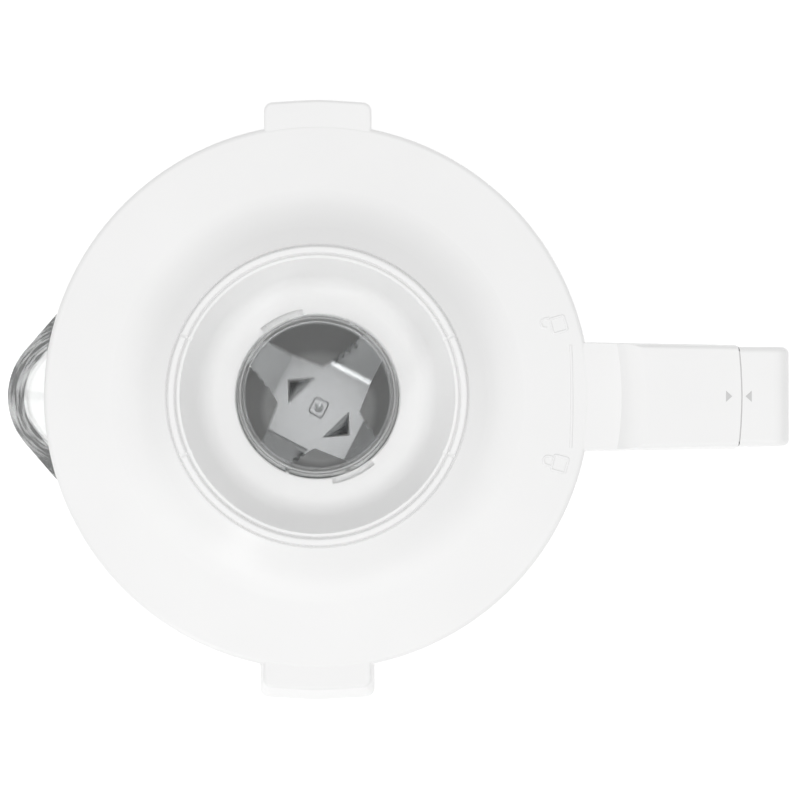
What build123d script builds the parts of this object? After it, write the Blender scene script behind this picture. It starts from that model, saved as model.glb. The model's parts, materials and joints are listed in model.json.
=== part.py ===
from build123d import *
from math import asin, atan2, cos, degrees, radians, sin, sqrt, tan
import os

# Countertop blender with a glass jug, in millimetres.
# Origin on the drive axis at counter level: +Z up, +X towards the handle, -Y towards the user.

# Clearances shared by all pieces
SEAT_GAP = 0.3
RUN_GAP = 0.05
SLIDE_GAP = 0.4

# Base housing
BASE_RADIUS = 86.0
DECK_RADIUS = 62.0
HOUSING_HEIGHT = 144.0
WALL = 2.8
RIM_ROUND = 2.0
WAIST_RISE = 42.0
WAIST_ROUND = 140.0
SHOULDER_DROP = 18.0
SHOULDER_ROUND = 60.0
DECK_ROUND = 5.0
SOCKET_RADIUS = 51.0
SOCKET_DEPTH = 14.0
SOCKET_FLOOR = 3.0
SOCKET_ROUND = 1.5
KEY_WIDTH = 8.0
KEY_DEPTH = 1.8
KEY_DROP = 2.0
DRIP_HUB_RADIUS = 12.0
DRIP_HUB_RISE = 2.0
DRIP_BORE = 8.5

# Bottom plate, feet and screws
PLATE_THICK = 3.0
VENT_COUNT = 18
VENT_INNER = 19.0
VENT_OUTER = 35.0
VENT_WIDTH = 3.2
FOOT_HEIGHT = 4.0
FOOT_RADIUS = 9.0
FOOT_STEM = 4.0
FOOT_LIP = 1.2
FOOT_MARGIN = 5.0
POST_RADIUS = 5.0
POST_HEIGHT = 24.0
POST_INSET = 1.2
POST_RIB = 3.0
SCREW_RADIUS = 1.7
SCREW_HEAD = 3.6
SCREW_HEAD_HEIGHT = 2.2
SCREW_BITE = 12.0

# Cord gland at the back
GLAND_HEIGHT = 17.0
GLAND_RADIUS = 6.8
GLAND_FLANGE = 9.0
GLAND_FLANGE_THICK = 2.6
GLAND_BORE = 3.6

# Speed control on the front
KNOB_HEIGHT = 72.0
BOSS_RADIUS = 30.0
BOSS_PROUD = 3.5
BOSS_DEPTH = 20.0
BOSS_ROUND = 2.5
BEZEL_WIDTH = 6.0
BEZEL_THICK = 2.2
KNOB_RADIUS = 20.0
KNOB_GRIP_RADIUS = 16.5
KNOB_LENGTH = 13.0
KNOB_SKIRT = 3.4
KNOB_FLUTES = 18
KNOB_FLUTE_RADIUS = 1.5
POINTER_WIDTH = 1.8
POINTER_DEPTH = 0.8
POINTER_INNER = 6.0
SPINDLE_RADIUS = 3.0
SPINDLE_BITE = 8.0
SWITCH_WIDTH = 25.0
SWITCH_DEPTH = 14.0
TERMINAL_LENGTH = 6.0

# Motor, hung under the socket floor
MOUNT_POST = 8.0
MOUNT_POST_RADIUS = 4.5
MOUNT_CIRCLE = 29.5
BUSH_HEIGHT = 4.0
MOUNT_SCREW = 1.6
MOUNT_SCREW_HEAD = 3.0
BRACKET_THICK = 4.0
BRACKET_WIDTH = 70.0
BRACKET_ROUND = 9.0
LEG_RADIUS = 4.0
LEG_SPREAD = 26.0
LEG_UPPER = 11.0
LEG_LOWER = 28.0
STACK_HEIGHT = 38.0
STACK_WIDTH = 64.0
STACK_ROUND = 8.0
STATOR_BORE = 17.6
SLOT_INNER = 19.2
SLOT_OUTER = 26.0
SLOT_HALF_ANGLE = 40.0
COIL_OVERHANG = 9.0
COIL_GAP = 0.4
TIE_RADIUS = 1.6
TIE_HEAD = 3.0
TIE_HEAD_HEIGHT = 2.4
BEARING_RADIUS = 8.0
BEARING_LENGTH = 8.0
BEARING_WALL = 2.5
SHAFT_RADIUS = 4.0
AIR_GAP = 0.6
ARMATURE_SLOTS = 12
ARMATURE_SLOT_WIDTH = 2.4
ARMATURE_SLOT_DEPTH = 6.0
WINDING_OVERHANG = 7.0
COMMUTATOR_RADIUS = 12.0
COMMUTATOR_LENGTH = 13.0
COMMUTATOR_BARS = 12
BRUSH_SIZE = 6.0
BRUSH_LENGTH = 13.0
HOLDER_WALL = 1.4
HOLDER_LENGTH = 17.0
FAN_RADIUS = 34.0
FAN_HEIGHT = 13.0
FAN_HUB = 9.0
FAN_BLADES = 11
FAN_PLATE = 2.0
FAN_BLADE_THICK = 1.6

# Drive dog between motor and jug
DOG_RADIUS = 13.0
DOG_CORE = 8.5
DOG_HEIGHT = 10.0
DOG_FINS = 6
DOG_FIN_WIDTH = 4.6
DOG_FLANGE = 1.8
DRIVEN_RADIUS = 17.0
DRIVEN_HUB = 9.0
DRIVEN_HUB_LENGTH = 6.0

# Jug base ring and blade carrier
JUG_BASE_HEIGHT = 58.0
JUG_BASE_RADIUS = 56.0
JUG_BASE_TOP_RADIUS = 54.0
PLUG_WALL = 4.0
LEDGE_RISE = 24.0
LEDGE_THICK = 5.0
LEDGE_RADIUS = 37.0
CARRIER_FLANGE = 3.0
CARRIER_WALL = 2.6
BOWL_FLOOR_RISE = 3.0
BOWL_FLOOR_RADIUS = 16.5
BOWL_ROUND = 4.0
HUB_RADIUS = 11.0
HUB_RISE = 6.0
JUG_SEAL_THICK = 2.0
BUSH_RADIUS = 7.0
SHAFT_SEAL_RADIUS = 8.2
SHAFT_SEAL_HEIGHT = 4.0
WASHER_RADIUS = 8.0
WASHER_THICK = 0.9

# Blade
BLADE_RISE = 20.0
BLADE_THICK = 1.8
BLADE_TURN = -27.3
FOLD_REACH = 14.9
TIP_REACH = 28.5
WING_LEAD = -3.1
WING_LEAD_TIP = 2.6
WING_TRAIL = 11.3
NOTCH_ACROSS = -4.9
NOTCH_OUT = 12.3
UP_BEND = 42.0
DOWN_BEND = 9.0
TEETH = 4
TOOTH_RADIUS = 1.2
TAB_BEND = 38.0
TAB_PLAY = 0.25
TAB_ROOT = 0.8
WINDOW_LOW_X = 5.6
WINDOW_LOW_Y = -8.1
WINDOW_HIGH_X = 9.4
WINDOW_HIGH_Y = 3.3
WINDOW_TIP_X = 13.1
WINDOW_TIP_Y = -3.4
FOLD_ROUND = 3.0
RIVET_WIDTH = 5.2
RIVET_DEPTH = 5.8
RIVET_RISE = 1.6
RIVET_CHAMFER = 0.4
PEEN_RADIUS = 1.6
PEEN_DEPTH = 0.5
BLADE_COLLAR = 6.5
BLADE_COLLAR_HEIGHT = 9.0

# Glass jug
GLASS_HEIGHT = 198.0
GLASS_WALL = 4.4
NECK_RADIUS = 43.0
NECK_WALL = 6.0
NECK_SINK = 16.0
FLARE_RADIUS = 52.5
FLARE_RISE = 4.0
NECK_ROUND = 12.0
FLARE_ROUND = 16.0
MOUTH_RADIUS = 69.0
BEAD_RADIUS = 70.5
BEAD_HEIGHT = 9.0
BEAD_ROUND = 1.6
SPOUT_REACH = 85.2
SPOUT_RADIUS = 19.5
SPOUT_DROP = 46.0
SPOUT_ROOT = 11.0
SPOUT_SINK = 0.7
SPOUT_BLEND = 12.0

# Handle
HANDLE_WIDTH = 27.2
HANDLE_END = 13.6
END_ROUND = 4.5
HANDLE_THICK = 20.0
COVER_THICK = 9.0
GRIP_ROUND = 4.0
COVER_ROUND = 1.8
BRIDGE_DEPTH = 18.0
GRIP_TOP_DROP = 34.0
GRIP_FOOT_INSET = 11.5
GRIP_FOOT_RISE = 40.0
FOOT_DROP = 38.0
BAND_HEIGHT = 14.0
BAND_DROP = 1.5
BAND_THICK = 3.0
BAND_HALF_ANGLE = 118.0
BAND_END_ROUND = 5.0
BAND_EDGE_ROUND = 0.8
HANDLE_SCREW = 1.8
HANDLE_SCREW_HEAD = 3.4
HANDLE_SCREW_INSET = 26.0

# Lid
LID_RADIUS = 75.0
LID_EDGE = 4.7
LID_WALL = 2.5
LID_ROUND = 1.4
LID_RIB = 2.4
CREST_RADIUS = 40.6
CREST_WIDTH = 1.5
CREST_RISE = 9.0
RING_GROOVE = 0.9
RING_BEAD = 0.7
DISH_RADIUS = 31.5
DISH_DROP = 11.0
DISH_ROUND = 6.0
SWEEP_RADIUS = 51.0
SWEEP_ROUND = 20.0
TICK_WIDTH = 0.9
TICK_ANGLE = 24.0
PLUG_RADIUS = 60.3
PLUG_DEPTH = 14.3
PLUG_LEDGE = 1.5
LID_SEAL_HEIGHT = 5.5
FILLER_RADIUS = 22.6
FILLER_TUBE = 11.0
NOTCH_DEPTH = 1.6
NOTCH_REACH = 24.4
NOTCH_HALF_ANGLE = 15.0
NOTCH_ANGLE = 115.0
ARM_REACH = 116.1
ARM_ROOT_HALF = 14.4
ARM_END_HALF = 13.6
ARM_DRAFT = 0.7
ARM_RISE = 3.0
ARM_STEP = 83.5
ARM_STEP_RUN = 3.0
ARM_BROW_DROP = 0.5
ARM_BROW_RUN = 10.5
ARM_BROW_ROUND = 12.0
ARM_ROUND = 1.2
ARM_GAP = 0.8
EAR_HALF = 14.8
EAR_REACH = 81.6
EAR_DEPTH = 15.0
EAR_CORNER = 2.5
EAR_BOW = 0.9
FRONT_EAR_FLARE = 1.1
FRONT_EAR_TOP = 80.5
FRONT_EAR_FOOT = 84.0

# Filler cap
CAP_GAP = 0.4
CAP_WALL = 1.4
CAP_RISE = 19.0
CAP_TOP_RADIUS = 21.4
CAP_ROUND = 0.8
CAP_SHOULDER = 1.5
CAP_RIB = 0.7
CAP_RIB_WIDTH = 1.0
CAP_RIB_OFFSET = 8.2
LUG_HEIGHT = 2.0

# Heights that follow from the sizes above, from the counter up
PLATE_Z = FOOT_HEIGHT
PLATE_TOP = PLATE_Z + PLATE_THICK
DECK_Z = FOOT_HEIGHT + HOUSING_HEIGHT
WAIST_Z = FOOT_HEIGHT + WAIST_RISE
SHOULDER_Z = DECK_Z - SHOULDER_DROP
SOCKET_Z = DECK_Z - SOCKET_DEPTH
SOCKET_UNDER = SOCKET_Z - SOCKET_FLOOR
BRACKET_TOP = SOCKET_UNDER - MOUNT_POST - BUSH_HEIGHT
BRACKET_UNDER = BRACKET_TOP - BRACKET_THICK
STACK_TOP = BRACKET_UNDER - LEG_UPPER
STACK_Z = STACK_TOP - STACK_HEIGHT
LOWER_TOP = STACK_Z - LEG_LOWER
LOWER_UNDER = LOWER_TOP - BRACKET_THICK
COMMUTATOR_TOP = STACK_Z - WINDING_OVERHANG - 1.0
BRUSH_Z = COMMUTATOR_TOP - COMMUTATOR_LENGTH / 2
FAN_TOP = LOWER_UNDER - (BEARING_LENGTH - BRACKET_THICK) / 2 - 1.0
FAN_Z = FAN_TOP - FAN_HEIGHT
DOG_Z = SOCKET_Z + DRIP_HUB_RISE + 1.2
DOG_TOP = DOG_Z + DOG_FLANGE + DOG_HEIGHT
DRIVEN_Z = DOG_Z + DOG_FLANGE + SLIDE_GAP
POCKET_TOP = DOG_TOP + SLIDE_GAP
DRIVEN_TOP = POCKET_TOP + DRIVEN_HUB_LENGTH
HUB_UNDER = DRIVEN_TOP + WASHER_THICK + SEAT_GAP
LEDGE_Z = SOCKET_Z + LEDGE_RISE
LEDGE_TOP = LEDGE_Z + LEDGE_THICK
JUG_BASE_TOP = SOCKET_Z + JUG_BASE_HEIGHT
FLANGE_TOP = LEDGE_TOP + CARRIER_FLANGE
GLASS_Z = FLANGE_TOP + JUG_SEAL_THICK
BOWL_Z = LEDGE_TOP + BOWL_FLOOR_RISE
HUB_TOP = BOWL_Z + HUB_RISE
SHAFT_SEAL_Z = HUB_TOP - SHAFT_SEAL_HEIGHT
BLADE_Z = BOWL_Z + BLADE_RISE
NECK_TOP = JUG_BASE_TOP - NECK_SINK
FLARE_Z = JUG_BASE_TOP + FLARE_RISE
RIM_Z = GLASS_Z + GLASS_HEIGHT
BEAD_Z = RIM_Z - BEAD_HEIGHT
LID_Z = RIM_Z + SEAT_GAP
LID_TOP = LID_Z + LID_EDGE
CREST_Z = LID_TOP + CREST_RISE
DISH_Z = CREST_Z - DISH_DROP
PLUG_Z = LID_Z - PLUG_DEPTH
ARM_TOP = LID_TOP + ARM_RISE
BRIDGE_TOP = LID_Z - ARM_GAP
CAP_TOP = DISH_Z + CAP_RISE
CAP_Z = DISH_Z - FILLER_TUBE - 2.0
BAND_TOP = BEAD_Z - BAND_DROP

# Radii and places that follow
SCREW_CIRCLE = BASE_RADIUS - WALL - POST_RADIUS - POST_INSET
FOOT_CIRCLE = SCREW_CIRCLE - POST_RADIUS - FOOT_RADIUS - FOOT_MARGIN
HANDLE_REACH = ARM_REACH + HANDLE_END
PLUG_OUTER = SOCKET_RADIUS - SLIDE_GAP
ARMATURE_RADIUS = STATOR_BORE - AIR_GAP
LEAN = degrees(atan2(BASE_RADIUS - DECK_RADIUS, SHOULDER_Z - WAIST_Z))
KNOB_REACH = BASE_RADIUS - tan(radians(LEAN)) * (KNOB_HEIGHT - WAIST_Z) + BOSS_PROUD
KNOB_PLANE = Plane(
    origin=(0, -KNOB_REACH, KNOB_HEIGHT),
    x_dir=(1, 0, 0),
    z_dir=(0, -cos(radians(LEAN)), sin(radians(LEAN))),
)
QUARTERS = (45, 135, 225, 315)


# Shape helpers

def upright(radius, low, high, x=0.0, y=0.0):
    """Cylinder along Z between two heights."""
    body = Cylinder(radius, high - low, align=(Align.CENTER, Align.CENTER, Align.MIN))
    return Pos(x, y, low) * body


def tube(outer, inner, low, high, x=0.0, y=0.0):
    """Hollow cylinder along Z."""
    return upright(outer, low, high, x, y) - upright(inner, low - 1, high + 1, x, y)


def block(x0, x1, y0, y1, z0, z1):
    """Box between two corners."""
    return Pos((x0 + x1) / 2, (y0 + y1) / 2, (z0 + z1) / 2) * Box(x1 - x0, y1 - y0, z1 - z0)


def rounded_face(points, place):
    """Closed face through points; a third number on a point is its corner radius."""
    spots = [place(point[0], point[1]) for point in points]
    total = len(points)
    starts = []
    ends = []
    arcs = []
    for i, point in enumerate(points):
        radius = point[2] if len(point) > 2 else 0
        here = spots[i]
        if radius <= 0:
            starts.append(here)
            ends.append(here)
            arcs.append(None)
            continue
        back = (spots[i - 1] - here).normalized()
        ahead = (spots[(i + 1) % total] - here).normalized()
        half = radians(back.get_angle(ahead)) / 2
        middle = (back + ahead).normalized()
        starts.append(here + back * (radius / tan(half)))
        ends.append(here + ahead * (radius / tan(half)))
        arcs.append(ThreePointArc(starts[-1], here + middle * (radius / sin(half) - radius), ends[-1]))
    edges = []
    for i in range(total):
        if arcs[i] is not None:
            edges.append(arcs[i])
        after = (i + 1) % total
        if (starts[after] - ends[i]).length > 1e-6:
            edges.append(Line(ends[i], starts[after]))
    return make_face(edges)


def side_face(points):
    """Face in the XZ plane."""
    return rounded_face(points, lambda a, b: Vector(a, 0, b))


def plan_face(points, height):
    """Face in a level plane."""
    return rounded_face(points, lambda a, b: Vector(a, b, height))


def turned(points, arc=360.0):
    """Solid of revolution about Z from an outline of radii and heights."""
    return revolve(side_face(points), Axis.Z, arc)


def raised(face, amount):
    """Level face drawn straight up."""
    return extrude(face, amount, dir=(0, 0, 1))


def sector(inner, outer, start, end, low, high):
    """Block between two radii, two angles and two heights."""
    def at(radius, angle):
        return Vector(radius * cos(radians(angle)), radius * sin(radians(angle)), low)

    middle = (start + end) / 2
    edges = [
        ThreePointArc(at(outer, start), at(outer, middle), at(outer, end)),
        Line(at(outer, end), at(inner, end)),
        ThreePointArc(at(inner, end), at(inner, middle), at(inner, start)),
        Line(at(inner, start), at(outer, start)),
    ]
    return raised(make_face(edges), high - low)


def around(shape, angles):
    """Copies of a shape turned about Z."""
    return [Rot(0, 0, angle) * shape for angle in angles]


def ring(count, start=0.0):
    """Even angles round a circle."""
    return [start + 360.0 * i / count for i in range(count)]


def beside(points, distance):
    """Polyline moved sideways, to the right of its direction, with mitred corners."""
    moved = []
    last = len(points) - 1
    for i, point in enumerate(points):
        before = points[max(i - 1, 0)]
        after = points[min(i + 1, last)]
        turns = []
        for start, end in ((before, point), (point, after)):
            if start != end:
                step = Vector(end[0] - start[0], end[1] - start[1], 0).normalized()
                turns.append(Vector(step.Y, -step.X, 0))
        side = (turns[0] + turns[-1]).normalized()
        reach = distance / side.dot(turns[0])
        moved.append((point[0] + side.X * reach, point[1] + side.Y * reach))
    return moved


# Base

def base_housing():
    """Moulded body with jug socket, knob boss, screw posts and motor posts."""
    body = turned([
        (BASE_RADIUS, PLATE_Z, RIM_ROUND),
        (BASE_RADIUS, WAIST_Z, WAIST_ROUND),
        (DECK_RADIUS, SHOULDER_Z, SHOULDER_ROUND),
        (DECK_RADIUS, DECK_Z, DECK_ROUND),
        (SOCKET_RADIUS, DECK_Z, SOCKET_ROUND),
        (SOCKET_RADIUS, SOCKET_Z),
        (DRIP_HUB_RADIUS, SOCKET_Z),
        (DRIP_HUB_RADIUS, SOCKET_Z + DRIP_HUB_RISE),
        (DRIP_BORE, SOCKET_Z + DRIP_HUB_RISE),
        (DRIP_BORE, SOCKET_UNDER),
        (SOCKET_RADIUS + WALL, SOCKET_UNDER),
        (SOCKET_RADIUS + WALL, DECK_Z - WALL),
        (DECK_RADIUS - WALL, DECK_Z - WALL),
        (DECK_RADIUS - WALL, SHOULDER_Z, SHOULDER_ROUND),
        (BASE_RADIUS - WALL, WAIST_Z, WAIST_ROUND),
        (BASE_RADIUS - WALL, PLATE_Z),
    ])
    boss = turned([(0, -BOSS_DEPTH), (BOSS_RADIUS, -BOSS_DEPTH), (BOSS_RADIUS, 0, BOSS_ROUND), (0, 0)])
    body += KNOB_PLANE * boss
    body -= KNOB_PLANE * upright(BOSS_RADIUS - WALL, -BOSS_DEPTH - WALL, -WALL)
    body -= KNOB_PLANE * upright(SPINDLE_RADIUS + 2 * SEAT_GAP, -WALL - 1, 1)
    post_top = PLATE_TOP + POST_HEIGHT
    post = upright(POST_RADIUS, PLATE_TOP, post_top, SCREW_CIRCLE)
    post += block(SCREW_CIRCLE, BASE_RADIUS - WALL / 2, -POST_RIB / 2, POST_RIB / 2, PLATE_TOP, post_top)
    pilot = upright(SCREW_RADIUS + RUN_GAP, PLATE_TOP - 1, PLATE_TOP + SCREW_BITE + 2, SCREW_CIRCLE)
    body += around(post, QUARTERS)
    body -= around(pilot, QUARTERS)
    hanger = upright(MOUNT_POST_RADIUS, SOCKET_UNDER - MOUNT_POST, SOCKET_UNDER + 1, MOUNT_CIRCLE)
    thread = upright(MOUNT_SCREW + RUN_GAP, SOCKET_UNDER - MOUNT_POST - 1, SOCKET_UNDER, MOUNT_CIRCLE)
    body += around(hanger, ring(4))
    body -= around(thread, ring(4))
    key = block(
        SOCKET_RADIUS - KEY_DEPTH, SOCKET_RADIUS + WALL / 2,
        -KEY_WIDTH / 2, KEY_WIDTH / 2, SOCKET_Z, DECK_Z - KEY_DROP,
    )
    body += around(key, QUARTERS)
    hole = Cylinder(GLAND_RADIUS + RUN_GAP, 4 * WALL, rotation=(90, 0, 0))
    body -= Pos(0, BASE_RADIUS - WALL / 2, GLAND_HEIGHT) * hole
    return body


def base_plate():
    """Bottom cover with air slots, foot holes and screw holes."""
    plate = upright(BASE_RADIUS - WALL - SEAT_GAP, PLATE_Z, PLATE_TOP)
    slot = Pos((VENT_INNER + VENT_OUTER) / 2, 0, PLATE_Z - 1)
    slot *= raised(SlotOverall(VENT_OUTER - VENT_INNER, VENT_WIDTH).face(), PLATE_THICK + 2)
    plate -= around(slot, ring(VENT_COUNT))
    hole = upright(FOOT_STEM + RUN_GAP, PLATE_Z - 1, PLATE_TOP + 1, FOOT_CIRCLE)
    hole += upright(SCREW_RADIUS + SEAT_GAP, PLATE_Z - 1, PLATE_TOP + 1, SCREW_CIRCLE)
    plate -= around(hole, QUARTERS)
    return plate


def rubber_feet():
    """Four pads held by stems pushed through the bottom plate."""
    foot = turned([
        (0, 0),
        (FOOT_RADIUS, 0, 1.2),
        (FOOT_RADIUS, PLATE_Z),
        (FOOT_STEM, PLATE_Z),
        (FOOT_STEM, PLATE_TOP),
        (FOOT_STEM + FOOT_LIP, PLATE_TOP),
        (FOOT_STEM, PLATE_TOP + 2 * FOOT_LIP),
        (0, PLATE_TOP + 2 * FOOT_LIP),
    ])
    return around(Pos(FOOT_CIRCLE, 0, 0) * foot, QUARTERS)


def base_screws():
    """Four pan-head screws that hold the bottom plate."""
    screw = upright(SCREW_RADIUS, PLATE_Z, PLATE_TOP + SCREW_BITE, SCREW_CIRCLE)
    screw += upright(SCREW_HEAD, PLATE_Z - SCREW_HEAD_HEIGHT, PLATE_Z, SCREW_CIRCLE)
    return around(screw, QUARTERS)


def cord_gland():
    """Rubber grommet in the back wall."""
    inner = BASE_RADIUS - WALL
    sag = inner - sqrt(inner ** 2 - GLAND_FLANGE ** 2)
    back = -WALL - sag - RUN_GAP
    profile = turned([
        (GLAND_BORE, back - GLAND_FLANGE_THICK),
        (GLAND_FLANGE, back - GLAND_FLANGE_THICK, 0.8),
        (GLAND_FLANGE, back),
        (GLAND_RADIUS, back),
        (GLAND_RADIUS, RUN_GAP),
        (GLAND_FLANGE, RUN_GAP),
        (GLAND_FLANGE, GLAND_FLANGE_THICK, 1.2),
        (GLAND_BORE, GLAND_FLANGE_THICK, 0.5),
    ])
    return Plane(origin=(0, BASE_RADIUS, GLAND_HEIGHT), x_dir=(1, 0, 0), z_dir=(0, 1, 0)) * profile


def knob_bezel():
    """Trim ring round the knob."""
    inner = KNOB_RADIUS + 2 * SLIDE_GAP
    return KNOB_PLANE * turned([
        (inner, 0),
        (inner + BEZEL_WIDTH, 0),
        (inner + BEZEL_WIDTH, BEZEL_THICK, 0.9),
        (inner, BEZEL_THICK, 0.5),
    ])


def speed_knob():
    """Fluted knob with a wide skirt and a pointer groove."""
    low = 2 * SEAT_GAP
    knob = turned([
        (0, low),
        (KNOB_RADIUS, low),
        (KNOB_RADIUS, KNOB_SKIRT, 0.8),
        (KNOB_GRIP_RADIUS + 1, KNOB_SKIRT + 1, 1.5),
        (KNOB_GRIP_RADIUS, KNOB_LENGTH, 2.2),
        (0, KNOB_LENGTH),
    ])
    flute = upright(KNOB_FLUTE_RADIUS, KNOB_SKIRT + 1.6, KNOB_LENGTH + 1, KNOB_GRIP_RADIUS + KNOB_FLUTE_RADIUS)
    knob -= around(flute, ring(KNOB_FLUTES, 180.0 / KNOB_FLUTES))
    knob -= upright(SPINDLE_RADIUS + RUN_GAP, 0, SPINDLE_BITE)
    half = POINTER_WIDTH / 2
    knob -= block(-half, half, POINTER_INNER, KNOB_GRIP_RADIUS, KNOB_LENGTH - POINTER_DEPTH, KNOB_LENGTH + 1)
    return KNOB_PLANE * knob


def switch_spindle():
    """Turning shaft of the rotary switch."""
    return KNOB_PLANE * upright(SPINDLE_RADIUS, -WALL - SWITCH_DEPTH + 3, SPINDLE_BITE)


def rotary_switch():
    """Speed switch behind the boss, with its terminals."""
    half = SWITCH_WIDTH / 2
    back = -WALL - SWITCH_DEPTH
    face = plan_face([(half, half, 3), (-half, half, 3), (-half, -half, 3), (half, -half, 3)], back)
    body = raised(face, SWITCH_DEPTH)
    body -= upright(SPINDLE_RADIUS + RUN_GAP, back + 3, 0)
    for x in (-7, 0, 7):
        body += block(x - 2, x + 2, -0.4, 0.4, back - TERMINAL_LENGTH, back + 1)
    return KNOB_PLANE * body


# Motor, fixed half

def bracket(low, legs_from, legs_to):
    """Square bearing bracket with a centre hub, windows and four legs."""
    half = BRACKET_WIDTH / 2
    face = plan_face([
        (half, half, BRACKET_ROUND),
        (-half, half, BRACKET_ROUND),
        (-half, -half, BRACKET_ROUND),
        (half, -half, BRACKET_ROUND),
    ], low)
    body = raised(face, BRACKET_THICK)
    window = sector(BEARING_RADIUS + 5, SLOT_OUTER - 3, 18, 72, low - 1, low + BRACKET_THICK + 1)
    body -= around(window, ring(4))
    middle = low + BRACKET_THICK / 2
    body += upright(BEARING_RADIUS + BEARING_WALL, middle - BEARING_LENGTH / 2, middle + BEARING_LENGTH / 2)
    for x in (-LEG_SPREAD, LEG_SPREAD):
        for y in (-LEG_SPREAD, LEG_SPREAD):
            body += upright(LEG_RADIUS, legs_from, legs_to, x, y)
            body -= upright(TIE_RADIUS + RUN_GAP, low - 1, max(legs_to, low + BRACKET_THICK) + 1, x, y)
            body -= upright(TIE_RADIUS + RUN_GAP, legs_from - 1, legs_to + 1, x, y)
    body -= upright(BEARING_RADIUS, middle - BEARING_LENGTH, middle + BEARING_LENGTH)
    return body


def motor_bracket_upper():
    """Upper bearing bracket, hung on the rubber bushes."""
    body = bracket(BRACKET_UNDER, STACK_TOP, BRACKET_UNDER)
    hole = upright(MOUNT_SCREW + RUN_GAP, BRACKET_UNDER - 1, BRACKET_TOP + 1, MOUNT_CIRCLE)
    body -= around(hole, ring(4))
    return body


def motor_bracket_lower():
    """Lower bearing bracket under the stator."""
    return bracket(LOWER_UNDER, LOWER_TOP, STACK_Z)


def bearing(middle):
    """Sintered bearing bush."""
    return tube(BEARING_RADIUS, SHAFT_RADIUS + RUN_GAP, middle - BEARING_LENGTH / 2, middle + BEARING_LENGTH / 2)


def mount_bushes():
    """Rubber bushes between the motor and the housing posts."""
    bush = tube(MOUNT_POST_RADIUS, MOUNT_SCREW + RUN_GAP, BRACKET_TOP, BRACKET_TOP + BUSH_HEIGHT, MOUNT_CIRCLE)
    return around(bush, ring(4))


def mount_screws():
    """Screws from the upper bracket into the housing posts."""
    top = BRACKET_TOP + BUSH_HEIGHT + MOUNT_POST - 2
    screw = upright(MOUNT_SCREW, BRACKET_UNDER, top, MOUNT_CIRCLE)
    screw += upright(MOUNT_SCREW_HEAD, BRACKET_UNDER - 2, BRACKET_UNDER, MOUNT_CIRCLE)
    return around(screw, ring(4))


def tie_bolts():
    """Long bolts that clamp both brackets to the stator."""
    bolts = []
    for x in (-LEG_SPREAD, LEG_SPREAD):
        for y in (-LEG_SPREAD, LEG_SPREAD):
            bolt = upright(TIE_RADIUS, LOWER_UNDER, BRACKET_TOP, x, y)
            bolts.append(bolt + upright(TIE_HEAD, LOWER_UNDER - TIE_HEAD_HEIGHT, LOWER_UNDER, x, y))
    return bolts


def stator_core():
    """Laminated core with two poles and two winding windows."""
    half = STACK_WIDTH / 2
    face = plan_face([
        (half, half, STACK_ROUND),
        (-half, half, STACK_ROUND),
        (-half, -half, STACK_ROUND),
        (half, -half, STACK_ROUND),
    ], STACK_Z)
    core = raised(face, STACK_HEIGHT) - upright(STATOR_BORE, STACK_Z - 1, STACK_TOP + 1)
    for middle in (90, 270):
        core -= sector(
            SLOT_INNER, SLOT_OUTER, middle - SLOT_HALF_ANGLE, middle + SLOT_HALF_ANGLE,
            STACK_Z - 1, STACK_TOP + 1,
        )
    for x in (-LEG_SPREAD, LEG_SPREAD):
        for y in (-LEG_SPREAD, LEG_SPREAD):
            core -= upright(TIE_RADIUS + RUN_GAP, STACK_Z - 1, STACK_TOP + 1, x, y)
    return core


def field_coils():
    """Two coils, one round each pole, with end turns above and below the core."""
    pole = 90 - SLOT_HALF_ANGLE + degrees(COIL_GAP / SLOT_INNER)
    side = 90 - degrees(COIL_GAP / SLOT_INNER)
    coil = sector(
        SLOT_INNER + COIL_GAP, SLOT_OUTER - COIL_GAP, -side, side,
        STACK_Z - COIL_OVERHANG, STACK_TOP + COIL_OVERHANG,
    )
    coil -= sector(SLOT_INNER - 1, SLOT_OUTER + 1, -pole, pole, STACK_Z - COIL_GAP, STACK_TOP + COIL_GAP)
    return around(coil, (0, 180))


def brush_side(sign_angle):
    """One brush tube on its foot, along +X and then turned."""
    half = BRUSH_SIZE / 2 + RUN_GAP
    outer = half + HOLDER_WALL
    start = COMMUTATOR_RADIUS + 1.5
    body = block(start, start + HOLDER_LENGTH, -outer, outer, BRUSH_Z - outer, BRUSH_Z + outer)
    body += block(start + 5, start + HOLDER_LENGTH - 3, -outer, outer, LOWER_TOP, BRUSH_Z)
    body -= block(start - 1, start + HOLDER_LENGTH - HOLDER_WALL, -half, half, BRUSH_Z - half, BRUSH_Z + half)
    return Rot(0, 0, sign_angle) * body


def brush_holders():
    """Two brush tubes on the lower bracket."""
    return [brush_side(0), brush_side(180)]


def carbon_brushes():
    """Two brushes on the commutator."""
    half = BRUSH_SIZE / 2
    start = COMMUTATOR_RADIUS + RUN_GAP
    brush = block(start, start + BRUSH_LENGTH, -half, half, BRUSH_Z - half, BRUSH_Z + half)
    return around(brush, (0, 180))


def drip_seal():
    """Rubber lip round the shaft in the socket floor."""
    return turned([
        (SHAFT_RADIUS + SEAT_GAP, SOCKET_UNDER),
        (DRIP_BORE - RUN_GAP, SOCKET_UNDER),
        (DRIP_BORE - RUN_GAP, SOCKET_Z + DRIP_HUB_RISE, 1.0),
        (SHAFT_RADIUS + SEAT_GAP, SOCKET_Z + DRIP_HUB_RISE),
    ])


# Motor, turning half

def motor_shaft():
    """Steel shaft from the fan to the drive dog."""
    return upright(SHAFT_RADIUS, FAN_Z + 1, DOG_TOP - 2)


def armature_slots(low, high, width, radius):
    """Radial bars that fill the armature slots."""
    bar = block(ARMATURE_RADIUS - ARMATURE_SLOT_DEPTH, radius, -width / 2, width / 2, low, high)
    return around(bar, ring(ARMATURE_SLOTS))


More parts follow.
